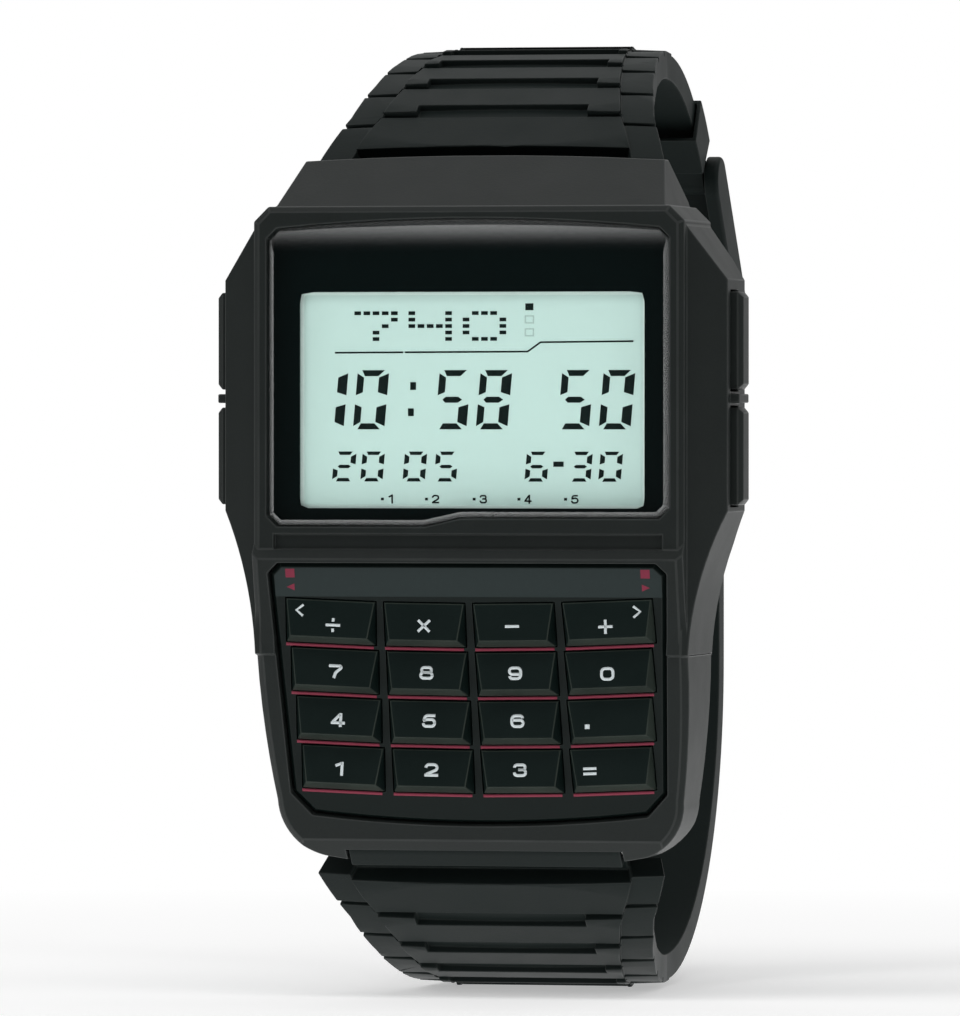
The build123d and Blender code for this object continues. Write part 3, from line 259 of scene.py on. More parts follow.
def close_material(sheet: Sheet, shader: Wire) -> None:
    """Joins a shader to the material's output."""
    sheet.node("ShaderNodeOutputMaterial", {}, {"Surface": shader})


def shaded(colour: Colour, share: float) -> Colour:
    """A darker or brighter colour, at most white."""
    return tuple(min(1.0, share * part) for part in colour)


@dataclass(frozen=True)
class Finish:
    """A material of one shader, whose sockets each kind of finish fills."""

    name: str

    def paint(self) -> bpy.types.Material:
        """Makes the material.

        Returns:
            The finished material.
        """
        material, sheet = new_material(self.name)
        close_material(sheet, sheet.node("ShaderNodeBsdfPrincipled", {}, self.sockets(sheet)))
        return material

    def sockets(self, sheet: Sheet) -> Sockets:
        """What the shader is given, by the names of its sockets."""
        raise NotImplementedError


@dataclass(frozen=True)
class Resin(Finish):
    """Moulded resin: fine spark-eroded grain, uneven sheen, and paler edges that are partly worn and partly a
    painted highlight.
    """

    colour: Colour
    # the paler colour of edges, partly wear and partly a painted highlight
    rub_and_shine: Colour
    roughness: float = 0.5
    grain: float = 0.16 * MM
    depth: float = 0.012 * MM
    patch: float = 3.0 * MM
    # how strongly edges are painted paler, partly for wear and partly as a painted highlight
    rub_and_shine_strength: float = 0.5
    gloss: float = 0.12
    pore_ratio: float = 2.6      # pores to grain
    shade_spread: float = 0.2    # of the colour, up and down
    sheen_spread: float = 0.12   # of the roughness, from dull to bright patches
    rub_polish: float = 0.16     # how much smoother a paler edge is
    rub_spread: Point = (0.35, 0.9)    # how pale an edge is painted at least, and how much patches add
    fine_share: float = 0.6      # of the relief, the rest being pores

    def sockets(self, sheet: Sheet) -> Sockets:
        """Grain and pores, patches of sheen, and paler edges that are partly wear and partly a painted highlight.

        Args:
            sheet: The sheet to write on.

        Returns:
            Values and wires, by the names of the shader's sockets.
        """
        fine = sheet.noise(self.grain, 3.0)
        pores = sheet.noise(self.grain * self.pore_ratio, 2.0)
        cloud = sheet.noise(self.patch, 4.0)
        least, added = self.rub_spread
        # Paler edges: partly wear, partly a painted highlight standing in for light catching them.
        edge_rub_and_shine = sheet.rub_and_shine() * (least + cloud * added) * self.rub_and_shine_strength
        shade = sheet.mix(cloud * 0.5 + fine * 0.5, shaded(self.colour, 1 - self.shade_spread),
                          shaded(self.colour, 1 + self.shade_spread))
        roughness = (self.roughness - self.sheen_spread / 2 + cloud * self.sheen_spread
                     - edge_rub_and_shine * self.rub_polish)
        relief = fine * self.fine_share + pores * (1 - self.fine_share)
        return {"Base Color": sheet.mix(edge_rub_and_shine, shade, self.rub_and_shine), "Roughness": roughness,
                "Normal": sheet.bump(relief, self.depth), "Specular IOR Level": self.gloss}


@dataclass(frozen=True)
class Steel(Finish):
    """Brushed stainless steel with fine scratches."""

    colour: Colour = (0.6, 0.6, 0.58)
    roughness: float = 0.3
    brushing: Brushing = Brushing.ALONG
    stroke: float = 0.05 * MM
    shrink: float = 0.03       # of the coordinate along the strokes, which makes them long
    patch: float = 4 * MM
    depth: float = 0.004 * MM
    dark: float = 0.8          # of the colour, between strokes
    bright: float = 1.15       # of the colour, on strokes and rubbed edges

    def sockets(self, sheet: Sheet) -> Sockets:
        """Straight or ringed strokes under faint patches.

        Args:
            sheet: The sheet to write on.

        Returns:
            Values and wires, by the names of the shader's sockets.
        """
        if self.brushing is Brushing.ALONG:
            spot = sheet.place((1.0, 1.0, self.shrink))
            strokes = sheet.noise(self.stroke, 4.0, spot)
        else:
            rings = sheet.node("ShaderNodeTexWave", {"wave_type": "RINGS", "rings_direction": "Y"},
                               {"Vector": sheet.place(), "Scale": 0.35 / self.stroke,
                                "Distortion": 1.5, "Detail": 3.0, "Detail Scale": 8.0})
            strokes = rings.out("Fac")
        cloud = sheet.noise(self.patch, 3.0)
        colour = sheet.mix(strokes * 0.6 + sheet.rub_and_shine() * 0.4, shaded(self.colour, self.dark),
                           shaded(self.colour, self.bright))
        roughness = self.roughness + strokes * 0.12 + cloud * 0.08 - 0.1
        return {"Base Color": colour, "Metallic": 1.0, "Roughness": roughness,
                "Normal": sheet.bump(strokes, self.depth, 0.6)}


@dataclass(frozen=True)
class Metal(Finish):
    """Plain sheet metal, a little tarnished."""

    colour: Colour
    roughness: float = 0.35
    patch: float = 2.5 * MM
    grain: float = 0.15 * MM
    depth: float = 0.004 * MM
    tarnish: float = 0.82         # of the colour, in the darkest patches
    sheen_spread: float = 0.16    # of the roughness, from patch to patch

    def sockets(self, sheet: Sheet) -> Sockets:
        """Tarnish in patches over a fine grain.

        Args:
            sheet: The sheet to write on.

        Returns:
            Values and wires, by the names of the shader's sockets.
        """
        cloud = sheet.noise(self.patch, 5.0)
        colour = sheet.mix(cloud, shaded(self.colour, self.tarnish), self.colour)
        return {"Base Color": colour, "Metallic": 1.0,
                "Roughness": self.roughness - self.sheen_spread / 2 + cloud * self.sheen_spread,
                "Normal": sheet.bump(sheet.noise(self.grain, 3.0), self.depth)}


@dataclass(frozen=True)
class Ink(Finish):
    """A printed film: nearly even colour, with a slight mottle and soft gloss."""

    colour: Colour
    roughness: float = 0.45
    mottle: float = 0.12
    gloss: float = 0.15
    blotch: float = 0.35 * MM
    depth: float = 0.003 * MM
    sheen_spread: float = 0.1    # of the roughness, from blotch to blotch

    def sockets(self, sheet: Sheet) -> Sockets:
        """A slight mottle of colour, sheen and relief.

        Args:
            sheet: The sheet to write on.

        Returns:
            Values and wires, by the names of the shader's sockets.
        """
        cloud = sheet.noise(self.blotch, 3.0)
        colour = sheet.mix(cloud, shaded(self.colour, 1 - self.mottle),
                           shaded(self.colour, 1 + self.mottle))
        return {"Base Color": colour, "Specular IOR Level": self.gloss,
                "Roughness": self.roughness - self.sheen_spread / 2 + cloud * self.sheen_spread,
                "Normal": sheet.bump(cloud, self.depth)}


@dataclass(frozen=True)
class Pane(Finish):
    """Clear mineral glass: only its reflection shows, and its bevels are painted pale as a highlight."""

    edge: float = 0.3        # how much the painted highlight on a bevel covers
    matte_highlight: float = 0.65      # how much of that painted highlight is dull white
    glance: float = 0.04     # the share reflected straight on
    graze: float = 5.0       # the power by which that rises towards a grazing view
    smear: float = 6 * MM
    polish: float = 0.02     # the roughness of clean glass
    smeared: float = 0.03    # what a smear adds to it
    ground: float = 0.14     # what the painted highlight adds to it

    def sockets(self, sheet: Sheet) -> Sockets:
        """A mirror that shows as much as glass reflects, with a painted highlight where the mesh marks it.

        Args:
            sheet: The sheet to write on.

        Returns:
            Values and wires, by the names of the shader's sockets.
        """
        facing = sheet.node("ShaderNodeLayerWeight").out("Facing")
        glance = self.glance + facing ** self.graze * (1 - self.glance)
        # Where the mesh marks the glass, it is painted pale as a highlight.
        ground = sheet.rub_and_shine()
        smear = sheet.noise(self.smear, 3.0)
        return {"Base Color": (0.95, 0.97, 0.97, 1.0), "Metallic": 1.0 - ground * self.matte_highlight,
                "Roughness": self.polish + smear * self.smeared + ground * self.ground,
                "Alpha": glance.most(ground * self.edge)}


@dataclass(frozen=True)
class DisplayFace(Finish):
    """The display's pale mint front, with painted shade that deepens its colour towards its lower corner."""

    light: Colour = (0.52, 0.71, 0.66)
    # the colour where the painted shade is deepest
    deep: Colour = (0.48, 0.67, 0.62)
    centre: tuple[float, float, float] = (0.0, 0.0, 8 * MM)
    stretch: tuple[float, float, float] = (30, 30, 50)
    patch: float = 5 * MM
    cell: float = 0.12 * MM
    depth: float = 0.002 * MM
    roughness: float = 0.42

    def sockets(self, sheet: Sheet) -> Sockets:
        """Painted shade from corner to corner, with faint patches and cells.

        Args:
            sheet: The sheet to write on.

        Returns:
            Values and wires, by the names of the shader's sockets.
        """
        spot = sheet.place(self.stretch, self.centre)
        across = sheet.node("ShaderNodeSeparateXYZ", {}, {"Vector": spot})
        # Painted shade, deepest towards the lower corner.
        painted_shade = (0.5 - across.out("X") * 0.4 - across.out("Z") * 0.6).least(1.0).most(0.0)
        cloud = sheet.noise(self.patch, 2.0)
        cell = sheet.noise(self.cell, 2.0)
        colour = sheet.mix(painted_shade * 0.7 + cloud * 0.25 + cell * 0.05, self.light, self.deep)
        return {"Base Color": colour, "Roughness": self.roughness + cloud * 0.06,
                "Normal": sheet.bump(cell, self.depth)}


@dataclass(frozen=True)
class SolderMask(Finish):
    """A circuit board's green mask over its tracks."""

    mask: Colour = (0.03, 0.16, 0.07)
    track: Colour = (0.06, 0.26, 0.11)
    scale: float = 320.0           # of the pattern, at which a row is 0.78 mm high
    track_width: float = 0.09      # in the pattern's own units, of which a row has 0.25
    depth: float = 0.02 * MM
    roughness: float = 0.35

    def sockets(self, sheet: Sheet) -> Sockets:
        """Raised tracks in staggered rows.

        Args:
            sheet: The sheet to write on.

        Returns:
            Values and wires, by the names of the shader's sockets.
        """
        bricks = sheet.node("ShaderNodeTexBrick", {"offset": 0.37},
                            {"Vector": sheet.place(), "Scale": self.scale,
                             "Mortar Size": self.track_width,
                             "Color1": (1, 1, 1, 1), "Color2": (1, 1, 1, 1), "Mortar": (0, 0, 0, 1)})
        raised = bricks.out("Fac")
        return {"Base Color": sheet.mix(raised, self.mask, self.track),
                "Roughness": self.roughness + sheet.noise(1 * MM) * 0.1,
                "Normal": sheet.bump(raised, self.depth)}


@dataclass
class Palette:
    """Every finish of the watch, by the construction's own slot names and for new pieces."""

    slots: dict[str, bpy.types.Material] = field(default_factory=dict)
    inks: dict[str, bpy.types.Material] = field(default_factory=dict)

    def fill(self) -> None:
        """Makes the materials."""
        slots = (
            Resin("case_resin", (0.0095, 0.0115, 0.011), (0.035, 0.038, 0.037), 0.5, gloss=0.055),
            Resin("panel_resin", (0.003, 0.0055, 0.005), (0.018, 0.023, 0.021), 0.42,
                  grain=0.12 * MM, depth=0.006 * MM, rub_and_shine_strength=0.3, gloss=0.07),
            Resin("key_resin", (0.003, 0.006, 0.0055), (0.03, 0.037, 0.031), 0.4,
                  grain=0.11 * MM, depth=0.006 * MM, rub_and_shine_strength=0.6, gloss=0.06),
            Resin("strap_resin", (0.0048, 0.0072, 0.0068), (0.018, 0.021, 0.02), 0.58,
                  grain=0.14 * MM, depth=0.01 * MM, rub_and_shine_strength=0.4, gloss=0.05),
            Pane("mineral_glass"),
            DisplayFace("display_glass"),
            Ink("backlight", (0.78, 0.88, 0.84), 0.5, 0.04),
            Resin("seal", (0.012, 0.012, 0.012), (0.03, 0.03, 0.03), 0.7),
            SolderMask("board"),
            Resin("black_plastic", (0.02, 0.02, 0.02), (0.05, 0.05, 0.05), 0.5),
            Metal("plated_can", (0.72, 0.72, 0.69), 0.3),
            Metal("brass", (0.72, 0.52, 0.25), 0.3),
            Steel("steel"))
        inks = (
            Steel("back_steel", (0.42, 0.43, 0.43), 0.34, Brushing.ROUND),
            Ink("mask_ink", (0.0008, 0.003, 0.003), 0.35, gloss=0.03),
            Ink("window_edge", (0.66, 0.82, 0.77), 0.5, 0.04),
            Ink("segment_ink", (0.003, 0.0085, 0.0075), 0.4, gloss=0.05),
            Ink("faint_ink", (0.36, 0.5, 0.46), 0.45),
            Ink("legend_ink", (0.41, 0.45, 0.46), 0.5, 0.08),
            Ink("line_ink", (0.135, 0.018, 0.034), 0.5),
            Ink("mark_ink", (0.12, 0.01, 0.026), 0.5),
            Ink("strip_ink", (0.01, 0.016, 0.016), 0.45, gloss=0.1))
        self.slots = {finish.name: finish.paint() for finish in slots}
        self.inks = {finish.name: finish.paint() for finish in inks}

    def dress_nodes(self) -> None:
        """Gives each of the construction's nodes the finish of its slot."""
        for part in frame["record"]["subparts"]:
            node = frame["nodes"][part["node"]]
            node.data.materials.clear()
            node.data.materials.append(self.slots[part["material_slot"]])


def body_of_node(node: str) -> str:
    """The body that one of the construction's nodes rides on."""
    bodies = frame["record"]["behaviour"]["bodies"]
    return next(body for body, members in bodies.items() if node in members)


def slot_of_node(node: str) -> str:
    """The material slot of one of the construction's nodes."""
    return next(part["material_slot"] for part in frame["record"]["subparts"]
                if part["node"] == node)


def stand_for(piece: bpy.types.Object, node: str) -> bpy.types.Object:
    """Puts a piece in the place of one of the construction's nodes.

    Args:
        piece: The new piece.
        node: The node that it replaces, whose body it takes.

    Returns:
        The piece.
    """
    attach(piece, body_of_node(node))
    slot_of_node(node)
    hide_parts(node)
    return piece


def welded(node: str, flat: float = radians(0.6)) -> bmesh.types.BMesh:
    """A node's faces, merged where they meet and joined where they are flat.

    Args:
        node: The node's name.
        flat: Faces that turn by less than this are joined.

    Returns:
        The mesh to work on.
    """
    faces = bmesh.new()
    faces.from_mesh(frame["nodes"][node].data)
    bmesh.ops.remove_doubles(faces, verts=faces.verts, dist=WELD)
    bmesh.ops.dissolve_limit(faces, angle_limit=flat, verts=faces.verts, edges=faces.edges)
    return faces


def as_object(name: str, faces: bmesh.types.BMesh, material: bpy.types.Material) -> bpy.types.Object:
    """A new object from worked faces.

    Args:
        name: Its name.
        faces: The worked faces, which are freed.
        material: Its finish.

    Returns:
        The object, with no place of its own.
    """
    mesh = bpy.data.meshes.new(name)
    faces.to_mesh(mesh)
    faces.free()
    mesh.materials.append(material)
    piece = bpy.data.objects.new(name, mesh)
    bpy.context.scene.collection.objects.link(piece)
    return piece


@dataclass(frozen=True)
class Dressing:
    """How a moulded or turned node's sharp edges are softened."""

    edge: float = 0.07 * MM
    sharp: float = radians(24)
    smooth: float = radians(32)
    steps: int = 2
    alike: float = 0.85    # the cosine within which a face looks along a direction

    def copy(self, node: str, material: bpy.types.Material,
             pale: tuple[Vector, ...] = ()) -> bpy.types.Object:
        """A dressed copy that stands for a node.

        Args:
            node: The node's name.
            material: Its finish.
            pale: Faces that look along one of these directions are painted paler all over, as a painted highlight.

        Returns:
            The new piece, riding on the node's body.
        """
        faces = welded(node)
        rub_and_shine = faces.faces.layers.float.new(RUB_AND_SHINE)
        corners = [edge for edge in faces.edges
                   if edge.is_manifold and edge.calc_face_angle(0.0) > self.sharp]
        made = bmesh.ops.bevel(faces, geom=corners, offset=self.edge, offset_type="OFFSET",
                               segments=self.steps, profile=0.5, affect="EDGES",
                               clamp_overlap=False, loop_slide=True)
        # The new bevels are painted paler, partly as wear and partly as a painted highlight.
        for face in made["faces"]:
            face[rub_and_shine] = 1.0
        for face in faces.faces:
            face.smooth = True
            # Faces that look along a pale direction get the painted highlight all over.
            if any(face.normal.dot(way) > self.alike for way in pale):
                face[rub_and_shine] = 1.0
        for edge in faces.edges:
            edge.smooth = edge.is_manifold and edge.calc_face_angle(0.0) < self.smooth
        piece = as_object(node + "_dressed", faces, material)
        weights = piece.modifiers.new("even_normals", "WEIGHTED_NORMAL")
        weights.keep_sharp = True
        return stand_for(piece, node)


@dataclass(frozen=True)
class Drawing:
    """A flat place in space: where drawn points go, with a normal towards the viewer."""

    origin: Vector
    across: Vector
    normal: Vector

    @property
    def up(self) -> Vector:
        """The direction of the drawing's second axis."""
        return self.normal.cross(self.across)

    @property
    def matrix(self) -> Matrix:
        """From the drawing's own points to the frame."""
        axes = Matrix((self.across, self.up, self.normal)).transposed().to_4x4()
        return Matrix.Translation(self.origin) @ axes

    def moved(self, across: float, up: float, rise: float = 0.0) -> "Drawing":
        """The same drawing with its origin moved in its own axes."""
        shift = self.across * across + self.up * up + self.normal * rise
        return Drawing(self.origin + shift, self.across, self.normal)


def facing_viewer(depth: float) -> Drawing:
    """A drawing parallel to the dial at one depth."""
    return Drawing(Vector((0, depth, 0)), Vector((1, 0, 0)), Vector((0, -1, 0)))


def widest_face(node: str, towards: Vector, facing: float = 0.8,
                level: float = 0.95) -> Drawing:
    """The largest flat face of a node that looks one way.

    Args:
        node: The node's name.
        towards: The direction that the face roughly looks in.
        facing: The cosine within which it does.
        level: The cosine within which an edge counts as running across.

    Returns:
        A drawing at the face's middle.
    """
    faces = welded(node)
    faces.normal_update()
    seen = [face for face in faces.faces if face.normal.dot(towards) > facing]
    face = max(seen, key=lambda each: each.calc_area())
    normal = face.normal.copy()
    flat = [edge for edge in face.edges
            if abs((edge.verts[1].co - edge.verts[0].co).normalized().x) > level]
    long = max(flat, key=lambda each: each.calc_length())
    across = (long.verts[1].co - long.verts[0].co).normalized()
    across = across if across.x > 0 else -across
    corners = [vert.co.copy() for vert in face.verts]
    drawing = Drawing(face.calc_center_median(), across, normal)
    wide = [(corner - drawing.origin).dot(across) for corner in corners]
    high = [(corner - drawing.origin).dot(drawing.up) for corner in corners]
    middle = drawing.moved((min(wide) + max(wide)) / 2, (min(high) + max(high)) / 2)
    faces.free()
    return middle


def prisms(outlines: list[list[Point]], thickness: float) -> bmesh.types.BMesh:
    """Thin plates with given outlines, from the drawing's plane up.

    Args:
        outlines: Corners of each plate in order.
        thickness: How thick the plates are.

    Returns:
        The plates' faces.
    """
    faces = bmesh.new()
    for outline in outlines:
        low = [faces.verts.new((x, y, 0)) for x, y in outline]
        high = [faces.verts.new((x, y, thickness)) for x, y in outline]
        faces.faces.new(list(reversed(low)))
        faces.faces.new(high)
        for index, corner in enumerate(low):
            after = (index + 1) % len(low)
            faces.faces.new([corner, low[after], high[after], high[index]])
    bmesh.ops.recalc_face_normals(faces, faces=faces.faces)
    return faces


def laid(name: str, faces: bmesh.types.BMesh, drawing: Drawing, material: bpy.types.Material,
         body: str) -> bpy.types.Object:
    """Worked faces as a piece on a drawing.

    Args:
        name: The piece's name.
        faces: Its faces, in the drawing's own points.
        drawing: Where it lies.
        material: Its finish.
        body: The body that it rides on.

    Returns:
        The new piece.
    """
    faces.transform(drawing.matrix)
    piece = as_object(name, faces, material)
    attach(piece, body)
    return piece


def printed(name: str, outlines: list[list[Point]], thickness: float, drawing: Drawing,
            material: bpy.types.Material, body: str) -> bpy.types.Object:
    """Thin printed plates as one piece, placed on a drawing and riding on a body."""
    return laid(name, prisms(outlines, thickness), drawing, material, body)


def rounded(left: float, right: float, low: float, high: float, radius: float,
            steps: int = 6) -> list[Point]:
    """A rectangle with rounded corners, counterclockwise from its lower right.

    Args:
        left: Its left side.
        right: Its right side.
        low: Its foot.
        high: Its top.
        radius: The radius of its corners.
        steps: How many steps a corner has.

    Returns:
        Its outline.
    """
    corners = [(right - radius, low + radius, -pi / 2), (right - radius, high - radius, 0.0),
               (left + radius, high - radius, pi / 2), (left + radius, low + radius, pi)]
    return [(x + radius * cos(start + pi / 2 * step / steps),
             y + radius * sin(start + pi / 2 * step / steps))
            for x, y, start in corners for step in range(steps + 1)]


def ring_plate(name: str, outer: list[Point], inner: list[Point], thickness: float,
               drawing: Drawing, material: bpy.types.Material, body: str) -> bpy.types.Object:
    """A plate with one hole, whose two outlines have as many points.

    Args:
        name: The piece's name.
        outer: Its outline.
        inner: The hole's outline.
        thickness: How thick it is.
        drawing: Where it lies.
        material: Its finish.
        body: The body that it rides on.

    Returns:
        The new piece.
    """
    faces = bmesh.new()
    layers = [[faces.verts.new((x, y, height)) for x, y in outline]
              for height in (0.0, thickness) for outline in (outer, inner)]
    count = len(outer)
    for index in range(count):
        after = (index + 1) % count
        for first, second in ((0, 2), (2, 3), (3, 1), (1, 0)):
            faces.faces.new([layers[first][index], layers[first][after],
                             layers[second][after], layers[second][index]])
    bmesh.ops.recalc_face_normals(faces, faces=faces.faces)
    return laid(name, faces, drawing, material, body)


class Pattern:
    """A Geometry Nodes tree with named sizes, grown on a base mesh into a plain mesh."""

    def __init__(self, name: str, sizes: list[str]) -> None:
        """Starts a tree with inputs for its geometry, its sizes and its material.

        Args:
            name: The tree's name.
            sizes: The names of its sizes.
        """
        self.tree = bpy.data.node_groups.new(name, "GeometryNodeTree")
        face = self.tree.interface
        face.new_socket("Geometry", in_out="INPUT", socket_type="NodeSocketGeometry")
        for size in sizes:
            face.new_socket(size, in_out="INPUT", socket_type="NodeSocketFloat")
        face.new_socket("Material", in_out="INPUT", socket_type="NodeSocketMaterial")
        face.new_socket("Geometry", in_out="OUTPUT", socket_type="NodeSocketGeometry")
        self.sheet = Sheet(self.tree)
        self.given = self.sheet.node("NodeGroupInput")

    def close(self, shape: Wire) -> None:
        """Ends the tree: instances made real, then the material.

        Args:
            shape: The finished geometry.
        """
        real = self.sheet.node("GeometryNodeRealizeInstances", {}, {"Geometry": shape})
        painted = self.sheet.node("GeometryNodeSetMaterial", {},
                                  {"Geometry": real, "Material": self.given.out("Material")})
        self.sheet.node("NodeGroupOutput", {}, {"Geometry": painted})

    def grow(self, name: str, points: list[Point], joints: list[tuple[int, int]],
             sizes: dict[str, float], material: bpy.types.Material, drawing: Drawing,
             body: str) -> bpy.types.Object:
        """Grows the pattern and leaves a plain mesh.

        Args:
            name: The piece's name.
            points: The base mesh's points on the drawing.
            joints: Pairs of points that are joined by an edge.
            sizes: A value for each named size.
            material: The finish.
            drawing: Where the points lie.
            body: The body that the piece rides on.

        Returns:
            The new piece.
        """
        base = bpy.data.meshes.new(name + "_base")
        base.from_pydata([(x, y, 0.0) for x, y in points], joints, [])
        seed = bpy.data.objects.new(name + "_base", base)
        bpy.context.scene.collection.objects.link(seed)
        modifier = seed.modifiers.new("pattern", "NODES")
        modifier.node_group = self.tree
        for item in self.tree.interface.items_tree:
            if item.in_out == "INPUT" and item.name in sizes:
                modifier[item.identifier] = sizes[item.name]
            if item.in_out == "INPUT" and item.name == "Material":
                modifier[item.identifier] = material
        graph = bpy.context.evaluated_depsgraph_get()
        mesh = bpy.data.meshes.new_from_object(seed.evaluated_get(graph))
        seed.modifiers.remove(modifier)
        bpy.data.objects.remove(seed)
        mesh.name = name
        mesh.transform(drawing.matrix)
        piece = bpy.data.objects.new(name, mesh)
        bpy.context.scene.collection.objects.link(piece)
        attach(piece, body)
        return piece


def dot_pattern() -> Pattern:
    """Small plates, one on each point.

    Returns:
        The pattern.
    """
    pattern = Pattern("dots", ["Dot width", "Dot height", "Dot thickness"])
    size = pattern.sheet.node("ShaderNodeCombineXYZ", {}, {
        "X": pattern.given.out("Dot width"), "Y": pattern.given.out("Dot height"),
        "Z": pattern.given.out("Dot thickness")})
    plate = pattern.sheet.node("GeometryNodeMeshCube", {}, {"Size": size})
    placed = pattern.sheet.node("GeometryNodeInstanceOnPoints", {},
                                {"Points": pattern.given.out("Geometry"), "Instance": plate})
    pattern.close(placed)
    return pattern


def line_pattern(fillet: bool) -> Pattern:
    """Lines of even width along chains of edges.

    Args:
        fillet: Whether their corners are rounded.

    Returns:
        The pattern.
    """
    sizes = ["Line width", "Line thickness"] + (["Corner radius"] if fillet else [])
    pattern = Pattern("lines", sizes)
    path = pattern.sheet.node("GeometryNodeMeshToCurve", {}, {"Mesh": pattern.given.out("Geometry")})
    if fillet:
        path = pattern.sheet.node("GeometryNodeFilletCurve", {"mode": "POLY"}, {
            "Curve": path, "Count": CORNER_STEPS, "Radius": pattern.given.out("Corner radius"),
            "Limit Radius": True})
    path = pattern.sheet.node("GeometryNodeSetCurveNormal", {"mode": "Z_UP"}, {"Curve": path})
    section = pattern.sheet.node("GeometryNodeCurvePrimitiveQuadrilateral", {}, {
        "Width": pattern.given.out("Line width"), "Height": pattern.given.out("Line thickness")})
    line = pattern.sheet.node("GeometryNodeCurveToMesh", {}, {
        "Curve": path, "Profile Curve": section, "Fill Caps": True})
    pattern.close(line)
    return pattern


def chained(strokes: tuple[Stroke, ...]) -> tuple[list[Point], list[tuple[int, int]]]:
    """Joins drawn strokes.

    Args:
        strokes: Their middle lines; one that ends where it starts is a closed loop.

    Returns:
        Points, and the pairs of them that an edge joins.
    """
    points = []
    joints = []
    for stroke in strokes:
        first = len(points)
        closed = stroke[0] == stroke[-1]
        points += stroke[:-1] if closed else stroke
        joints += [(index, index + 1) for index in range(first, len(points) - 1)]
        if closed:
            joints.append((len(points) - 1, first))
    return points, joints


def turned(strokes: tuple[Stroke, ...]) -> tuple[Stroke, ...]:
    """Strokes turned half round."""
    return tuple(tuple((-x, -y) for x, y in stroke) for stroke in strokes)


# Middle lines of the keys' wide figures and signs, in millimetres about the figure's middle.
SIX = (((0.36, 0.17), (0.36, 0.355), (-0.38, 0.355), (-0.38, -0.355), (0.39, -0.355), (0.39, 0.07),
        (-0.36, 0.07)),)
STROKES: dict[str, tuple[Stroke, ...]] = {
    "0": (((-0.39, -0.355), (0.39, -0.355), (0.39, 0.355), (-0.39, 0.355), (-0.39, -0.355)),),
    "1": (((0.09, -0.46), (0.09, 0.46)), ((0.09, 0.36), (-0.05, 0.33), (-0.36, 0.2))),
    "2": (((-0.38, 0.13), (-0.38, 0.355), (0.38, 0.355), (0.38, 0.02), (-0.34, -0.3)),
          ((-0.47, -0.355), (0.47, -0.355))),
    "3": (((-0.38, 0.16), (-0.38, 0.355), (0.35, 0.355), (0.35, 0.03), (-0.12, 0.03)),
          ((-0.12, 0.03), (0.39, 0.03), (0.39, -0.355), (-0.39, -0.355), (-0.39, -0.14))),
    "4": (((0.17, -0.46), (0.17, 0.46)), ((0.12, 0.37), (-0.36, -0.14)),
          ((-0.48, -0.19), (0.47, -0.19))),
    "5": (((0.42, 0.36), (-0.29, 0.36), (-0.34, 0.0)),
          ((-0.4, 0.03), (-0.1, 0.1), (0.39, 0.1), (0.39, -0.355), (-0.39, -0.355), (-0.39, -0.15))),
    "6": SIX,
    "7": (((-0.47, 0.355), (0.38, 0.355), (0.36, 0.22), (0.0, -0.1), (-0.1, -0.46)),),
    "8": (((-0.33, 0.02), (0.33, 0.02), (0.33, 0.355), (-0.33, 0.355), (-0.33, 0.02)),
          ((-0.39, -0.355), (0.39, -0.355), (0.39, 0.02), (-0.39, 0.02), (-0.39, -0.355))),
    "9": turned(SIX),
    "divide": (((-0.49, 0.0), (0.49, 0.0)), ((0.0, 0.23), (0.0, 0.46)), ((0.0, -0.46), (0.0, -0.23))),
    "multiply": (((-0.4, -0.38), (0.4, 0.38)), ((-0.4, 0.38), (0.4, -0.38))),
    "minus": (((-0.48, 0.0), (0.48, 0.0)),),
    "plus": (((-0.48, 0.0), (0.48, 0.0)), ((0.0, -0.47), (0.0, 0.47))),
    "point": (((0.0, -0.15), (0.0, 0.15)),),
    "equals": (((-0.45, 0.17), (0.45, 0.17)), ((-0.45, -0.17), (0.45, -0.17))),
}
CHEVRON: Stroke = ((0.25, 0.37), (-0.22, 0.0), (0.25, -0.37))


@dataclass
class Shell:
    """The resin case and what closes it from behind."""

    palette: Palette
    case_edge: float = 0.09 * MM
    plate_edge: float = 0.06 * MM
    screw_edge: float = 0.03 * MM

    def build(self) -> list[bpy.types.Object]:
        """Dresses the case, the back and its screws.

        Returns:
            The three pieces.
        """
        steel = self.palette.slots["steel"]
        case = Dressing(edge=self.case_edge).copy("case", self.palette.slots["case_resin"])
        back = Dressing(edge=self.plate_edge).copy("caseback", self.palette.inks["back_steel"])
        screws = Dressing(edge=self.screw_edge).copy("caseback_screws", steel)
        return [case, back, screws]


